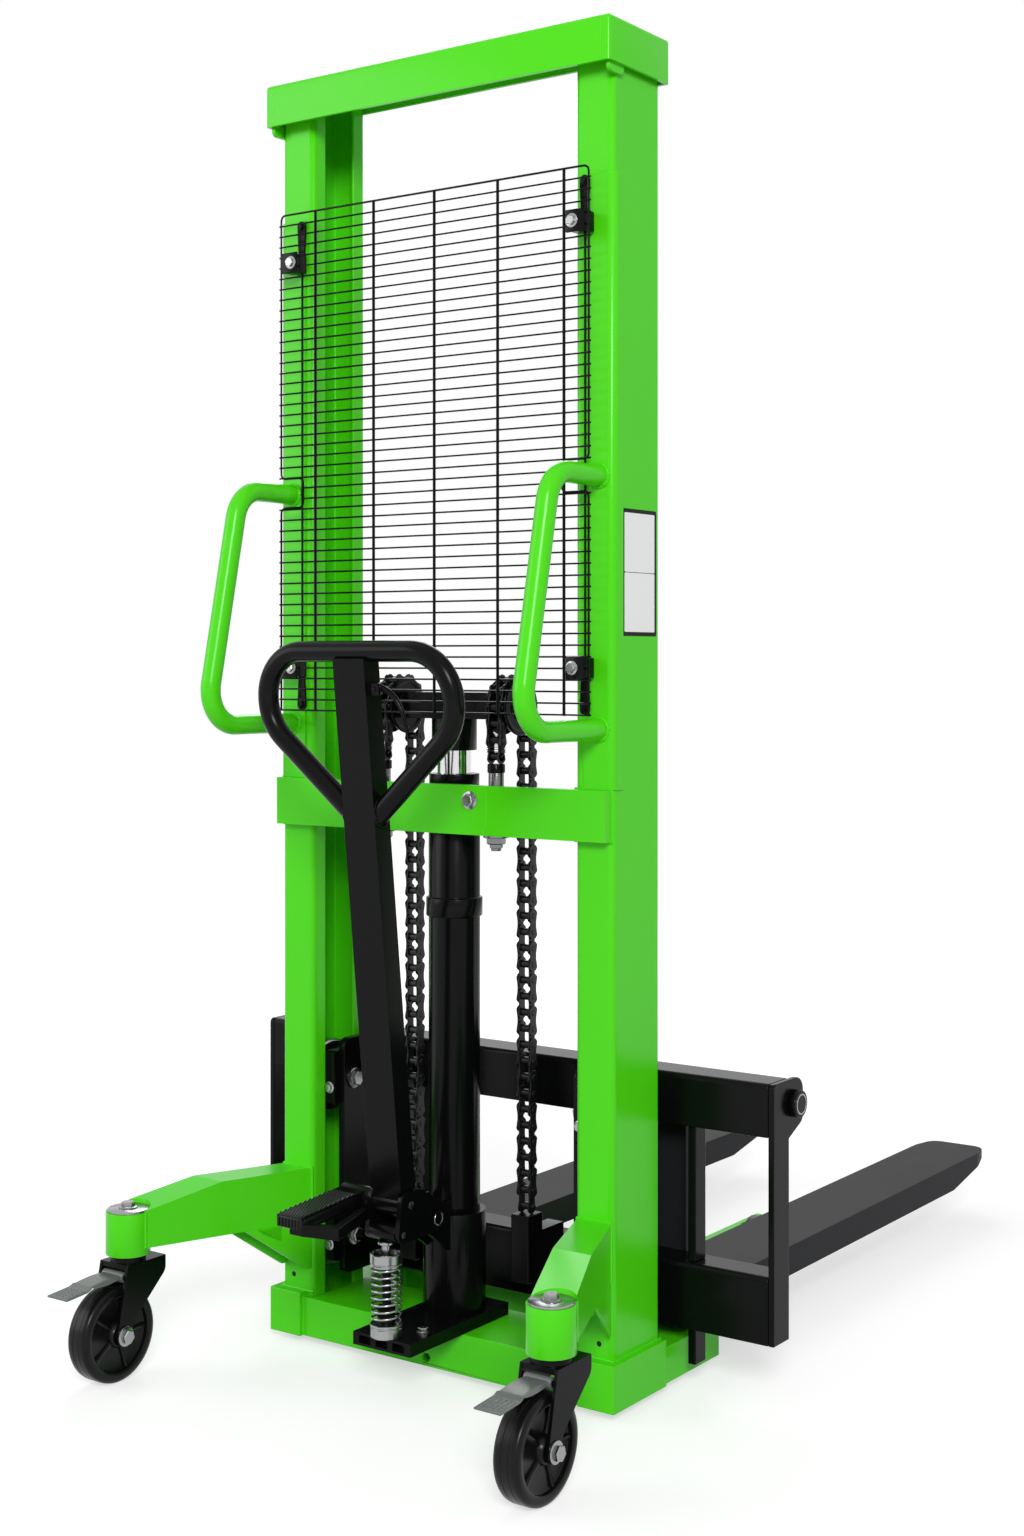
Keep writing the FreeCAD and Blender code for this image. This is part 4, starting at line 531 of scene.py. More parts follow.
# Blank plate on the right upright: a thin pale sheet in a dark border, halved by a thin line.
# It lies flat on the coat, stuck down by its back.
plate_y = (mast_rear + 0.024, mast_rear + 0.121)
plate_z = (1.164, 1.355)
plate_border = 0.006
border = bmesh.new()
panel(border, plate_y, plate_z, mast_high[0], mast_high[0] + 0.0006, 0.003)
new_piece("plate_border", border, black_paint)
pale_face = finish_material("pale_plate", (0.88, 0.89, 0.89), 0.4, Depth=0.02, Drift=0.04)
pale = bmesh.new()
half_way = (plate_z[0] + plate_z[1]) / 2
inner_y = (plate_y[0] + plate_border, plate_y[1] - plate_border)
line = 0.0005
for half in ((plate_z[0] + plate_border, half_way - line), (half_way + line, plate_z[1] - plate_border)):
    panel(pale, inner_y, half, mast_high[0] + 0.0003, mast_high[0] + 0.0009, 0.002)
new_piece("plate_face", pale, pale_face)

# Lift cylinder, pump body and crosshead: turned and welded steel in black coat, with a chromed piston rod.
# Two bright screws hold the pump's base plate on the sill.
black_nodes = ["cylinder_tube", "cylinder_gland", "pump_sleeve", "pump_base_plate", "crosshead"]
dress(black_paint, black_nodes, 0.0015)
screw_x = 0.035
screw_y = mast_rear - 0.084
screw_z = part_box("pump_base_plate")[1][2]
plate_screws = bmesh.new()
for side in (-1, 1):
    hex_bolt(plate_screws, (side * screw_x, screw_y, screw_z), (0, 0, 1), 0.008)
new_piece("plate_screws", plate_screws, zinc)
chrome = finish_material("chrome_rod", (0.72, 0.72, 0.73), 0.12, metallic=1.0, Depth=0.01, Uneven=0.04)
dress(chrome, ["piston_rod"])

# Chain anchors: turned steel studs through the crossbar's lugs, each a bright sleeve under a black ring.
# A flanged hexagon nut and a lock nut hold each one below the bar.
anchor_grey = (0.19, 0.192, 0.196)
anchor_steel = finish_material("anchor_steel", anchor_grey, 0.22, metallic=1.0, Depth=0.05, Drift=0.3)
dress(anchor_steel, ["chain_anchor_studs", "pulley_shaft"], 0.001)
stud_low, stud_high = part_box("chain_anchor_studs")
sleeve_radius = 0.012
nut_radius = 0.013
stud_x = stud_high[0] - nut_radius
stud_y = (stud_low[1] + stud_high[1]) / 2
ring = sleeve_radius + 0.0018
ring_outline = [
    (0, 0.0004), (ring - 0.001, 0.0004), (ring, -0.001), (ring, -0.013),
    (sleeve_radius, -0.014), (0, -0.014),
]
nut = nut_radius * 0.8
lock_outline = [(0.008, 0.0125), (nut, 0.0125), (nut, 0.0185), (nut * 0.87, 0.02), (0.008, 0.02)]
anchor_rings = bmesh.new()
anchor_nuts = bmesh.new()
for side in (-1, 1):
    lathe(anchor_rings, ring_outline, (side * stud_x, stud_y, stud_high[2]), (0, 0, 1))
    foot = (side * stud_x, stud_y, bar_low[2])
    hex_bolt(anchor_nuts, foot, (0, 0, -1), nut_radius * 1.16)
    lathe(anchor_nuts, lock_outline, foot, (0, 0, -1), 6, bored=True)
new_piece("anchor_rings", anchor_rings, black_paint)
new_piece("anchor_nuts", anchor_nuts, anchor_steel)

# Pulleys and lift chains: turned black sheaves, and waisted steel plates with round ends on pins and
# rollers, oiled and black. The front run rides on the carriage and the chain over each pulley on the ram,
# and spare links lie folded inside the rear run.


def middle_of(name):
    """The middle of a node's box."""
    low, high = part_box(name)
    return (Vector(low) + Vector(high)) / 2


def mirrored(half):
    """A turned outline made whole from the half on one side of its middle."""
    return half + [(radius, -reach) for radius, reach in reversed(half)]


chain_steel = finish_material("chain_steel", (0.012, 0.012, 0.013), 0.34, metallic=0.6, Depth=0.2, Drift=0.4)
pulley_low, pulley_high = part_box("right_pulley")
pulley = middle_of("right_pulley")
pitch = 0.0254
links_over = 5
links_rear = 3
links_front = 31
pitch_radius = pitch / (2 * sin(radians(90 / links_over)))
lobe = 0.0115
waist = 0.0074
roller_half = 0.0082
plate_thick = 0.0024
plate_step = 0.0027
flange = (pulley_high[2] - pulley_low[2]) / 2
rim_foot = pitch_radius - lobe - 0.0004
hub_and_web = [(0.0105, 0), (0.0195, 0), (0.0212, 0.0008), (0.0222, 0.0026), (0.0350, 0.0026)]
rim_and_groove = [
    (0.0365, 0.0008), (0.0380, 0), (flange - 0.0022, 0), (flange - 0.0007, 0.0008), (flange, 0.0024),
    (flange - 0.0007, 0.0042), (flange - 0.0022, 0.0049), (rim_foot, 0.0049),
]
pulley_half = (pulley_high[0] - pulley_low[0]) / 2
pulley_outline = [(radius, pulley_half - depth) for radius, depth in hub_and_web + rim_and_groove]
for name in ("left", "right"):
    sheave = bmesh.new()
    lathe(sheave, mirrored(pulley_outline), middle_of(f"{name}_pulley"), (1, 0, 0), 72, bored=True)
    round_pulley = new_piece(f"{name}_sheave", sheave, black_paint, f"{name}_pulley")
    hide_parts(f"{name}_pulley")


def link_plate(form, start, stop, low, high, end, neck):
    """One chain plate between two pins: a round end about each pin, a waist between and eased edges."""
    along = (stop - start).normalized()
    across = Vector((1, 0, 0)).cross(along)
    middle = (start + stop) / 2
    ease = 0.0005
    neck_half = 0.0042
    rings = []
    for x, inset in ((low, ease), (low + ease, 0), (high - ease, 0), (high, ease)):
        outline = []
        for centre, first in ((start, 115), (stop, -65)):
            for ahead, aside in arc(first, first + 130, 8):
                outline.append(centre + (along * ahead + across * aside) * (end - inset))
            hand = -1 if centre is start else 1
            for step in (-1, 1):
                outline.append(middle - along * (hand * step * neck_half) + across * (hand * (neck - inset)))
        rings.append([point + Vector((x, 0, 0)) for point in outline])
    skin(form, rings)


def chain_run(form, pins, first_link, pin_numbers, end=lobe, neck=waist, roller=0.006):
    """Both chains' links along one run, inner and outer pairs in turn, with pins and rollers."""
    outside = roller_half + plate_step + plate_thick + 0.0012
    pin = 0.0044
    half_pin = [(0, -outside), (0.0036, -outside), (pin, -outside + 0.0009)]
    half_pin += [(pin, -roller_half), (roller, -roller_half)]
    for side in (-1, 1):
        shift = Vector((side * pulley.x, 0, 0))
        for number, (start, stop) in enumerate(zip(pins, pins[1:])):
            near = roller_half + plate_step * ((first_link + number) % 2)
            for low, high in ((near, near + plate_thick), (-near - plate_thick, -near)):
                link_plate(form, start + shift, stop + shift, low, high, end, neck)
        for number in pin_numbers:
            lathe(form, mirrored(half_pin), pins[number] + shift, (1, 0, 0), 14)


def chain_point(y, z):
    """A pin's place in a chain's own plane."""
    return Vector((0, y, z))


rear_y = pulley.y - pitch_radius
front_y = pulley.y + pitch_radius
rear_foot = pulley.z - pitch * links_rear
rear_run = bmesh.new()
rear_pins = [chain_point(rear_y, rear_foot + pitch * step) for step in range(links_rear + 1)]
chain_run(rear_run, rear_pins, 0, range(links_rear))
rear_chain = new_piece("rear_chains", rear_run, chain_steel)
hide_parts("chain_rear_runs")
over_run = bmesh.new()
over_pins = []
for ahead, up in arc(180, 0, links_over):
    over_pins.append(chain_point(pulley.y + ahead * pitch_radius, pulley.z + up * pitch_radius))
over_pins.append(chain_point(front_y, pulley.z - pitch))
chain_run(over_run, over_pins, links_rear, range(links_over + 1))
over_chain = new_piece("pulley_chains", over_run, chain_steel, "ram")
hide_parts("chain_over_pulleys")
front_run = bmesh.new()
front_pins = [chain_point(front_y, pulley.z - pitch * step) for step in range(1, links_front + 1)]
chain_run(front_run, front_pins, links_rear + links_over + 1, range(links_front))
front_chain = new_piece("front_chains", front_run, chain_steel, "carriage")
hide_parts("chain_front_runs")
lift = 1.5
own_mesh(front_chain)


def folded_height(height):
    """Where a point of the drawn-out rear run lies while its spare links are folded."""
    if height <= rear_foot:
        return height
    low = rear_foot
    high = max(pulley.z, height - lift / 2)
    for step in range(40):
        middle = (low + high) / 2
        share = min(max((middle - rear_foot) / (pulley.z - rear_foot), 0), 1)
        drawn = middle + lift / 2 * share * share * (3 - 2 * share)
        if drawn < height:
            low = middle
        else:
            high = middle
    return low


slimness = 0.72
spare = bmesh.new()
spare_links = int((lift / 2 + pulley.z - rear_foot) / pitch)
spare_pins = [chain_point(rear_y, rear_foot + pitch * step) for step in range(spare_links + 1)]
chain_run(spare, spare_pins, 0, range(spare_links + 1), lobe * slimness, waist * slimness, 0.0048)
for vert in spare.verts:
    vert.co.z = folded_height(vert.co.z)
spare_chain = new_piece("spare_links", spare, chain_steel, None)
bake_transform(spare_chain)

# Pump spring and plunger: one smooth round wire of bright steel between two turned collars, round a barrel
# drawn black as painted shade inside the coil. The plunger is bright above its collar and drawn black below
# it, painted shade inside the spring, and a dark disc of painted shade lies in the upper collar's recess.
# The upper collar rides on the plunger. A wire clip on each end holds the tiller's pivot pin.
dress(black_paint, ["pump_roller", "tiller_pivot_pin"], 0.001)
coil_low, coil_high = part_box("pump_spring")
spring_wire = 0.0018
spring_turns = 8
spring_radius = (coil_high[0] - coil_low[0]) / 2 - spring_wire
spring_x = (coil_low[0] + coil_high[0]) / 2
spring_y = (coil_low[1] + coil_high[1]) / 2
coil_steps = spring_turns * 28
coil_route = []
for step, (out, back) in enumerate(arc(0, 360 * spring_turns, coil_steps)):
    rise = (coil_high[2] - coil_low[2] - 2 * spring_wire) * step / coil_steps
    coil_route.append(Vector((
        spring_x + out * spring_radius, spring_y + back * spring_radius, coil_low[2] + spring_wire + rise
    )))
coil = bmesh.new()
sweep(coil, coil_route, [spring_wire] * len(coil_route), 10)
spring = new_piece("pump_coil", coil, zinc)
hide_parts("pump_spring")
upward = (0, 0, 1)
pump_axis = (spring_x, spring_y, 0)
cup_low, cup_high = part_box("spring_seat")
cup_radius = (cup_high[0] - cup_low[0]) / 2
cup_foot = cup_low[2]
cup_height = 0.0200
cup_bore = 0.0080
lip = cup_radius - 0.0012
barrel_radius = 0.0140
barrel_bore = 0.0078
cup_rim = [
    (cup_radius, 0.0012), (cup_radius, 0.0135), (lip, 0.0147), (lip, 0.0158),
    (cup_radius, 0.0170), (cup_radius, 0.0192), (cup_radius - 0.0008, cup_height),
]
cup_outline = [(cup_bore, 0), (lip, 0)] + cup_rim
cup_outline += [(barrel_radius + 0.0002, cup_height), (cup_bore, cup_height)]
cup = bmesh.new()
lathe(cup, [(radius, cup_foot + up) for radius, up in cup_outline], pump_axis, upward, 48, bored=True)
spring_cup = new_piece("spring_cup", cup, zinc)
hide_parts("spring_seat")
# The barrel is drawn black: painted shade inside the spring's coil.
barrel_foot = cup_foot + cup_height - 0.0005
barrel_outline = [
    (barrel_bore, barrel_foot), (barrel_radius, barrel_foot), (barrel_radius, cup_high[2] - 0.001),
    (barrel_radius - 0.001, cup_high[2]), (barrel_bore, cup_high[2]),
]
barrel = bmesh.new()
lathe(barrel, barrel_outline, pump_axis, upward, 36, bored=True)
new_piece("plunger_barrel_shade", barrel, black_paint)
plunger_low, plunger_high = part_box("plunger")
collar_foot = 0.205
collar_top = 0.225
collar_bore = 0.0072
recess = 0.0200
recess_floor = collar_top - 0.0050
collar_outline = [(collar_bore, collar_foot)]
collar_outline += [(radius, collar_top - up) for radius, up in reversed(cup_rim)]
collar_outline += [
    (lip, collar_top), (recess + 0.0008, collar_top), (recess, collar_top - 0.0008),
    (recess, recess_floor), (collar_bore, recess_floor),
]
collar = bmesh.new()
lathe(collar, collar_outline, pump_axis, upward, 48, bored=True)
plunger_collar = new_piece("plunger_collar", collar, zinc, "plunger")
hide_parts("plunger")
stem_radius = 0.0070
head_radius = 0.0130
stem_foot = collar_top - 0.008
head_top = plunger_high[2]
stem_outline = [
    (0, stem_foot), (stem_radius, stem_foot), (stem_radius, head_top - 0.005),
    (head_radius - 0.001, head_top - 0.005), (head_radius, head_top - 0.004),
    (head_radius, head_top - 0.001), (head_radius - 0.001, head_top), (0, head_top),
]
stem = bmesh.new()
lathe(stem, stem_outline, pump_axis, upward, 36)
new_piece("plunger_stem", stem, zinc, "plunger")
# Below its collar the plunger is drawn black: painted shade inside the spring.
shank_top = collar_foot + 0.001
# A dark disc on the floor of the collar's recess: painted shade in the recess.
recess_shade_radius = recess - 0.0001
recess_shade_foot = recess_floor - 0.0002
recess_shade_top = recess_floor + 0.0004
shank_foot = plunger_low[2]
shank_outline = [(0, shank_foot), (stem_radius, shank_foot), (stem_radius, shank_top), (0, shank_top)]
recess_shade_outline = [(collar_bore, recess_shade_foot), (recess_shade_radius, recess_shade_foot)]
recess_shade_outline += [(recess_shade_radius, recess_shade_top), (collar_bore, recess_shade_top)]
shank = bmesh.new()
lathe(shank, shank_outline, pump_axis, upward, 36)
lathe(shank, recess_shade_outline, pump_axis, upward, 36, bored=True)
new_piece("plunger_shank_shade", shank, black_paint, "plunger")
pin_low, pin_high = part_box("tiller_pivot_pin")
clip_y = (pin_low[1] + pin_high[1]) / 2
clip_z = (pin_low[2] + pin_high[2]) / 2
clip_radius = 0.0098
clip_wire = 0.0013
clip = bmesh.new()
for side in (-1, 1):
    clip_centre = Vector((side * (pin_high[0] - 0.0006), clip_y, clip_z))
    bend = [clip_centre + Vector((0, back, up)) * clip_radius for back, up in arc(130, 410, 24)]
    sweep(clip, bend, [clip_wire] * len(bend))
new_piece("pivot_clips", clip, zinc)
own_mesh(spring)

# Tiller: steel tube, bent loop and yoke, welded together in black coat, with a slim release lever and a dark
# rivet at each pin of the cheeks. The foot pedal has a moulded rubber grip with small pyramids on top and
# ridges on its end.
dress(black_paint, ["tiller_tube", "tiller_yoke"], 0.002)
dress(black_paint, ["tiller_loop"])
dark_steel = finish_material("dark_steel", (0.06, 0.06, 0.062), 0.35, metallic=0.9, Depth=0.1)
yoke_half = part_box("tiller_yoke")[1][0]
hub = Vector((0, mast_rear - 0.112, 0.298))
roller_pin = Vector((0, mast_rear - 0.130, 0.256))
lean = radians(6.3)
tube_half = 0.030


def on_tiller(x, y, up):
    """A point of the leaning tiller: its place across, towards the mast and up the tube from the hub."""
    return hub + Vector((x, y * cos(lean) - up * sin(lean), y * sin(lean) + up * cos(lean)))


leg_radius = 0.0162
leg_height = 0.0216
leg_joint = 0.6045
loop_welds = bmesh.new()
for side in (-1, 1):
    x = side * (tube_half + 0.0004)
    circle = arc(0, 360, 28)
    ring = [on_tiller(x, leg_radius * back, leg_joint + leg_height * up) for back, up in circle]
    bead(loop_welds, ring, 0.0026)
new_piece("loop_welds", loop_welds, black_paint, "tiller")
lever_up = 0.792
lever_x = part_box("release_lever")[0][0] + 0.009
lever = bmesh.new()
lever_axis = on_tiller(0, 1, 0) - on_tiller(0, 0, 0)
lever_hub = mirrored([(0.0042, -0.006), (0.0080, -0.006), (0.009, -0.005)])
lathe(lever, lever_hub, on_tiller(lever_x, 0, lever_up), lever_axis, 32, bored=True)
lever_line = [
    (0.006, 0.002), (0.020, -0.004), (0.033, -0.016), (0.042, -0.032), (0.047, -0.050), (0.050, -0.066),
]
lever_route = rounded([on_tiller(lever_x + out, 0, lever_up + up) for out, up in lever_line], 0.006, 3)
lever_points = len(lever_route)
sweep(lever, lever_route, [0.0050 - 0.0018 * step / lever_points for step in range(lever_points)], 10)
slim_lever = new_piece("slim_lever", lever, black_paint, "release_lever")
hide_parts("release_lever")
rivets = bmesh.new()
for side in (-1, 1):
    for centre, size in ((hub, 0.006), (roller_pin, 0.005)):
        if centre is hub and side < 0:
            continue
        lathe(rivets, [(0, 0.0022), (size * 0.6, 0.0019), (size, 0.0006), (size, -0.001), (0, -0.001)],
              (side * yoke_half, centre.y, centre.z), (side, 0, 0), 20)
new_piece("yoke_rivets", rivets, dark_steel, "tiller")
rubber_black = (0.004, 0.004, 0.0043)
pedal_rubber = finish_material("pedal_rubber", rubber_black, 0.3, specular=0.2, Depth=0.3, Grain=420.0)
dress(black_paint, ["foot_pedal"], 0.003)
pedal_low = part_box("foot_pedal")[0]
pad_width = 0.050
pad_fall = 0.012
pad_top = hub.z + 0.0136
pad_thickness = 0.0205
pad_length = hub.y - pedal_low[1]
grip_length = 0.128
grip_rows = 22
grip_columns = 9
pyramid_half = 0.0029
pyramid_height = 0.0020
grip_margin = 0.006


def pad_point(x, back, up):
    """A point on the pedal's sloping top: how far from its free end, and how high over the top."""
    fall = pad_fall * (pad_length - back) / pad_length
    return Vector((pedal_low[0] + x, pedal_low[1] + back, pad_top - fall + up))


wall = 0.0012
end_wall = 0.0022
far = pad_width + wall
section = [(-wall, -pad_thickness), (far, -pad_thickness), (far, wall), (-wall, wall)]
grip = bmesh.new()
skin(grip, [[pad_point(x, back, up) for x, up in section] for back in (-end_wall, grip_length)])
round_edges(grip, 0.008, 5)
for row in range(grip_rows):
    for column in range(grip_columns):
        x = pad_width * (column + 0.5 + 0.5 * (row % 2)) / (grip_columns + 0.5)
        base = pad_point(x, grip_margin + (grip_length - 2 * grip_margin) * row / (grip_rows - 1), 0.0008)
        tip = grip.verts.new(base + Vector((0, 0, pyramid_height)))
        foot = [
            grip.verts.new(base + Vector((pyramid_half * way_x, pyramid_half * way_y, 0)))
            for way_x, way_y in ((1, 0), (0, 1), (-1, 0), (0, -1))
        ]
        bridge(grip, [foot, [tip]])
        grip.faces.new(foot)
for step in range(7):
    x = grip_margin + (pad_width - 2 * grip_margin) * step / 6
    sweep(grip, [pad_point(x, -end_wall, up) for up in (-0.003, -pad_thickness + 0.004)], [0.0016] * 2)
new_piece("pedal_grip", grip, pedal_rubber, "tiller")

# Fork carriage and forks: a welded steel carriage in black coat, with forged forks in dark grey hung on its
# shaft. Bright bolts close the roller axles and hold the guide blocks, and boxes close the chain sockets. A
# bright ring on each end of the shaft is a painted highlight along the rim of the shaft's end.
dress(black_paint, ["carriage_upper_beam", "carriage_lower_beam", "carriage_end_plates"], 0.002)
dress(black_paint, ["carriage_posts", "carriage_roller_plates", "chain_sockets", "fork_shaft"], 0.002)
fork_grey = (0.016, 0.0165, 0.0185)
fork_paint = finish_material("fork_paint", fork_grey, 0.5, specular=0.08, Depth=0.15, Drift=0.3)
dress(fork_paint, ["left_fork", "right_fork"], 0.003)
dress(zinc, ["mast_roller_axles"], 0.001)
dress(zinc, ["upper_left_roller", "upper_right_roller", "lower_left_roller", "lower_right_roller"], 0.001)
plates_low, plates_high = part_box("carriage_roller_plates")
block_y = (plates_low[1] - 0.014, plates_low[1] + 0.05)
guide_blocks = bmesh.new()
axle_bolts = bmesh.new()
for level, side in (("upper", -1), ("upper", 1), ("lower", -1), ("lower", 1)):
    centre = middle_of(f"{level}_{'left' if side < 0 else 'right'}_roller")
    hex_bolt(axle_bolts, (side * (plates_high[0] - 0.012), centre.y, centre.z), (-side, 0, 0), 0.0125)
    gap = sorted((side * (plates_high[0] - 0.0005), side * (mast_low[0] - 0.001)))
    panel(guide_blocks, block_y, (centre.z - 0.04, centre.z + 0.048), gap[0], gap[1], 0.006)
    hex_bolt(axle_bolts, (sum(gap) / 2, block_y[0], centre.z - 0.012), (0, -1, 0), 0.0072)
new_piece("axle_bolts", axle_bolts, zinc, "carriage")
new_piece("guide_blocks", guide_blocks, black_paint, "carriage")
sockets_low, sockets_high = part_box("chain_sockets")
box_y = (sockets_low[1] + 0.002, sockets_high[1] - 0.0005)
box_z = (sockets_low[2], sockets_high[2] - 0.029)
box_half = 0.0145
socket_boxes = bmesh.new()
for side in (-1, 1):
    middle = side * (sockets_high[0] - 0.017)
    panel(socket_boxes, box_y, box_z, middle - box_half, middle + box_half, 0.003)
new_piece("socket_boxes", socket_boxes, black_paint, "carriage")
# Each end of the shaft gets a thin bright ring: a painted highlight along the rim of its end.
shaft_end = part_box("fork_shaft")[1][0]
shaft = middle_of("fork_shaft")
ring_outline = [(0.0135, -0.001), (0.0135, 0.0006), (0.0158, 0.0006), (0.0158, -0.001)]
shaft_end_highlights = bmesh.new()
for side in (-1, 1):
    lathe(shaft_end_highlights, ring_outline, (side * shaft_end, shaft.y, shaft.z), (side, 0, 0), 36, bored=True)
new_piece("shaft_end_highlights", shaft_end_highlights, zinc, "carriage")

# Castors: pressed steel forks in black coat under a bright washer and bolt, moulded polymer wheels with a
# ribbed web and grooved tread on a bolted axle, and grey brake pedals with a ribbed grip and skirts.
dress(black_paint, ["left_castor_fork", "right_castor_fork"], 0.0015)
tyre_black = (0.004, 0.004, 0.0044)
wheel_polymer = finish_material("wheel_polymer", tyre_black, 0.27, specular=0.17, Depth=0.1, Grain=350.0)
brake_grey = finish_material("brake_grey", (0.13, 0.145, 0.14), 0.3, Depth=0.1, Grain=600.0)
wheel_half = [
    (0.0062, 0.0225), (0.017, 0.0225), (0.0195, 0.020), (0.0215, 0.0125), (0.054, 0.0115), (0.0575, 0.0135),
    (0.0585, 0.0195), (0.060, 0.0207), (0.068, 0.0207), (0.0722, 0.0190), (0.0743, 0.0158), (0.0750, 0.0120),
    (0.0750, 0.0068), (0.0743, 0.0062), (0.0743, 0.0058), (0.0750, 0.0052),
]
washer_outline = [(0, 0), (0.0325, 0), (0.0325, 0.0024), (0.0317, 0.003), (0, 0.003)]
toe_share = 0.36
step_share = 0.43
toe_top = 0.1572
toe_rise = 0.0030
step_rise = 0.0036
pad_steps = 40
ease = 0.0009
for name in ("left", "right"):
    body = f"{name}_castor_wheel"
    axle = middle_of(body)
    wheel = bmesh.new()
    lathe(wheel, mirrored(wheel_half), axle, (1, 0, 0), 72, bored=True)
    for back, up in arc(0, 360, 5)[:-1]:
        spoke = Vector((0, back, up))
        for side in (-1, 1):
            face = axle + Vector((side * 0.0125, 0, 0))
            rib = [face + spoke * reach for reach in (0.020, 0.037, 0.0565)]
            sweep(wheel, rib, [0.0048, 0.0034, 0.0048])
    round_wheel = new_piece(f"{name}_wheel", wheel, wheel_polymer, body)
    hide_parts(body)
    fork_low, fork_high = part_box(f"{name}_castor_fork")
    fork_bolts = bmesh.new()
    for side in (-1, 1):
        reach = side * (fork_high[0] - fork_low[0]) / 2
        hex_bolt(fork_bolts, (axle.x + reach, axle.y, axle.z), (side, 0, 0), 0.0115)
    lathe(fork_bolts, washer_outline, (axle.x, boss_y, boss_top + 0.0005), upward, 40)
    hex_bolt(fork_bolts, (axle.x, boss_y, boss_top + 0.0035), upward, 0.0108)
    new_piece(f"{name}_castor_bolts", fork_bolts, zinc, f"{name}_castor_fork")
    pad_low, pad_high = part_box(f"{name}_castor_brake")
    pad_half = (pad_high[0] - pad_low[0]) / 2
    pivot = Vector((axle.x, boss_y - 0.028, 0.162))
    pad_reach = pivot.y - pad_low[1]
    pad = bmesh.new()
    rings = []
    tops = []
    for step in range(pad_steps + 1):
        share = step / pad_steps
        heel = (share - step_share) / (1 - step_share)
        if share <= toe_share:
            top = toe_top + toe_rise * share / toe_share
        elif share < step_share:
            top = toe_top + toe_rise + step_rise * (share - toe_share) / (step_share - toe_share)
        else:
            top = toe_top + toe_rise + step_rise * (1 + sin(pi * 0.8 * heel))
        y = pad_low[1] + pad_reach * share
        if share >= step_share:
            tops.append((heel, y, top))
        wide = pad_half - (0.0035 if share > step_share else 0.0) - 0.002 * share ** 3
        low = top - 0.0030
        ring = [
            (ease - wide, top), (wide - ease, top), (wide, top - ease), (wide, low + ease),
            (wide - ease, low), (ease - wide, low), (-wide, low + ease), (-wide, top - ease),
        ]
        rings.append([(axle.x + x, y, z) for x, z in ring])
    skin(pad, rings)
    lathe(pad, mirrored([(0.0045, -pad_half), (0.008, -pad_half)]), pivot, (1, 0, 0), bored=True)
    for hand in (-1, 1):
        outer = axle.x + hand * (pad_half - 0.0032)
        inner = axle.x + hand * (pad_half - 0.0048)
        skirt = []
        for heel, y, top in tops:
            drop = 0.0012 + 0.0078 * sin(pi * heel) ** 0.7
            ring = [(outer, top - 0.0004), (outer, top - drop), (inner, top - drop), (inner, top - 0.0004)]
            skirt.append([(x, y, z) for x, z in ring])
        skin(pad, skirt)
    rib_half = pad_half * 0.86
    toe_length = pad_reach * toe_share
    for row in range(7):
        way = (row + 0.6) / 7.2
        y = pad_low[1] + toe_length * way
        ridge = [Vector((axle.x + side * rib_half, y, toe_top + toe_rise * way)) for side in (-1, 1)]
        sweep(pad, ridge, [0.0011] * 2)
    for column in range(6):
        x = axle.x + rib_half * (2 * column / 5 - 1)
        ridge = [Vector((x, pad_low[1] + toe_length * way, toe_top + toe_rise * way)) for way in (0.08, 0.9)]
        sweep(pad, ridge, [0.0009] * 2)
    brake_pad = new_piece(f"{name}_brake_pad", pad, brake_grey, f"{name}_castor_brake")
    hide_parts(f"{name}_castor_brake")

# Studio: a pale floor that brightens away from the truck, soft light from above and beside, and a white
# background. The camera has the photograph's view.


def seen_directly(tree):
    """A mask of what the camera sees, by itself, in a bright surface or through a clear one."""
    light_path = tree.nodes.new("ShaderNodeLightPath")
    mask = light_path.outputs["Is Camera Ray"]
    for ray in ("Is Glossy Ray", "Is Transmission Ray"):
        either = sum_node(tree, "MAXIMUM")
        tree.links.new(mask, either.inputs[0])
        tree.links.new(light_path.outputs[ray], either.inputs[1])
        mask = either.outputs[0]
    return mask


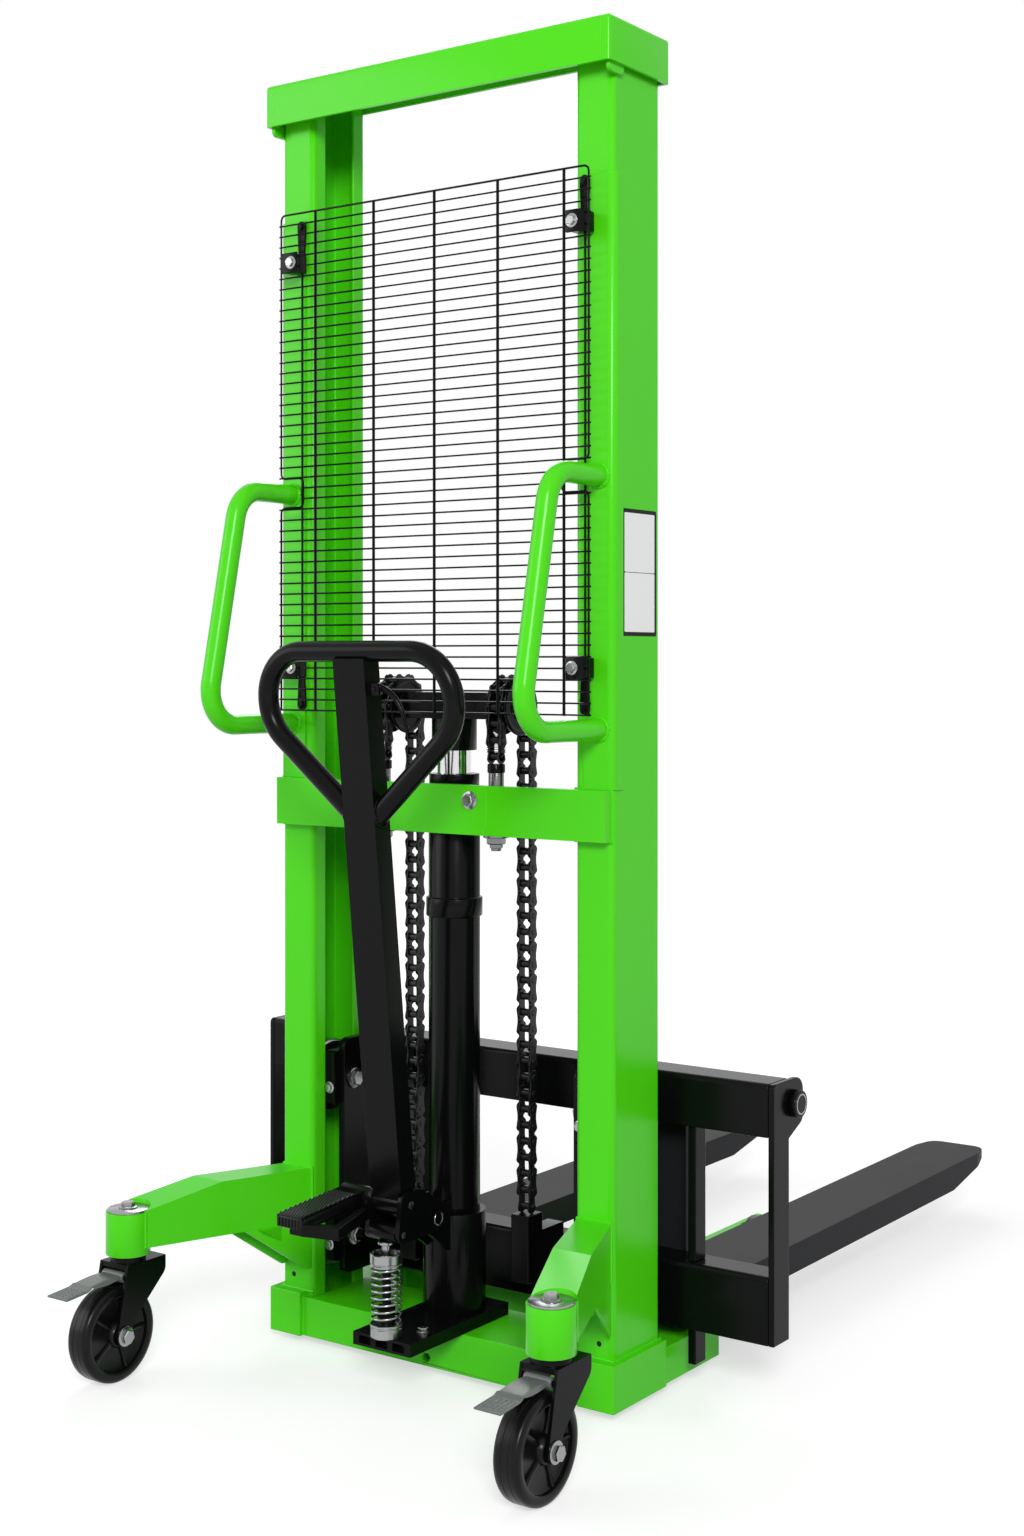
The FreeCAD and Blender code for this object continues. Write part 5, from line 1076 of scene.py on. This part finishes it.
floor_mesh = bpy.data.meshes.new("floor")
reach = 60
floor_corners = [(-reach, -reach, 0), (reach, -reach, 0), (reach, reach, 0), (-reach, reach, 0)]
floor_mesh.from_pydata(floor_corners, [], [(0, 1, 2, 3)])
floor = add_object("floor", floor_mesh)
floor_material = bpy.data.materials.new("floor")
floor_material.use_nodes = True
floor_tree = floor_material.node_tree
floor_shader = floor_tree.nodes["Principled BSDF"]
pale = (0.55, 0.55, 0.55, 1.0)
white = (1.0, 1.0, 1.0, 1.0)
set_sockets(floor_shader, Base_Color=pale, Roughness=0.9, Specular_IOR_Level=0.0, Emission_Color=white)
floor_glow = sum_node(floor_tree, "MULTIPLY")
floor_place = floor_tree.nodes.new("ShaderNodeTexCoord")
floor_reach = floor_tree.nodes.new("ShaderNodeVectorMath")
floor_reach.operation = "LENGTH"
floor_level = floor_tree.nodes.new("ShaderNodeMapRange")
set_sockets(floor_level, From_Min=1.0, From_Max=4.0, To_Min=0.58, To_Max=0.79)
floor_tree.links.new(seen_directly(floor_tree), floor_glow.inputs[0])
wire_nodes(
    floor_tree, (floor_place, "Object", floor_reach, 0), (floor_reach, "Value", floor_level, "Value"),
    (floor_level, "Result", floor_glow, 1), (floor_glow, 0, floor_shader, "Emission Strength"),
)
floor_mesh.materials.append(floor_material)
for name, at, size, power in (
    ("key", (4.4, -6.0, 4.3), 2.4, 385.0),
    ("fill", (-5.4, -5.0, 3.0), 4.5, 130.0),
    ("rim", (-2.8, 3.6, 4.2), 3.0, 80.0),
):
    light = bpy.data.lights.new(name, "AREA")
    light.shape = "DISK"
    light.size = size
    light.energy = power
    lamp = add_object(name, light)
    lamp.location = at
    lamp.rotation_euler = (Vector((0.0, -0.4, 0.9)) - Vector(at)).to_track_quat("-Z", "Y").to_euler()
world = bpy.data.worlds.new("studio")
bpy.context.scene.world = world
world.use_nodes = True
sky = world.node_tree
back = sky.nodes["Background"]
set_sockets(back, Color=white, Strength=0.42)
clear = sky.nodes.new("ShaderNodeBackground")
set_sockets(clear, Color=white)
mix = sky.nodes.new("ShaderNodeMixShader")
sky.links.new(seen_directly(sky), mix.inputs["Fac"])
wire_nodes(sky, (back, 0, mix, 1), (clear, 0, mix, 2), (mix, 0, sky.nodes["World Output"], "Surface"))
lens = bpy.data.cameras.new("camera")
lens.lens = 48.03
lens.shift_y = -0.0688
camera = add_object("camera", lens)
camera.location = (1.9675, -3.0767, 1.1243)
camera.rotation_euler = (radians(90), 0.0, radians(35.445))
bpy.context.scene.camera = camera
bpy.context.scene.view_settings.view_transform = "Standard"
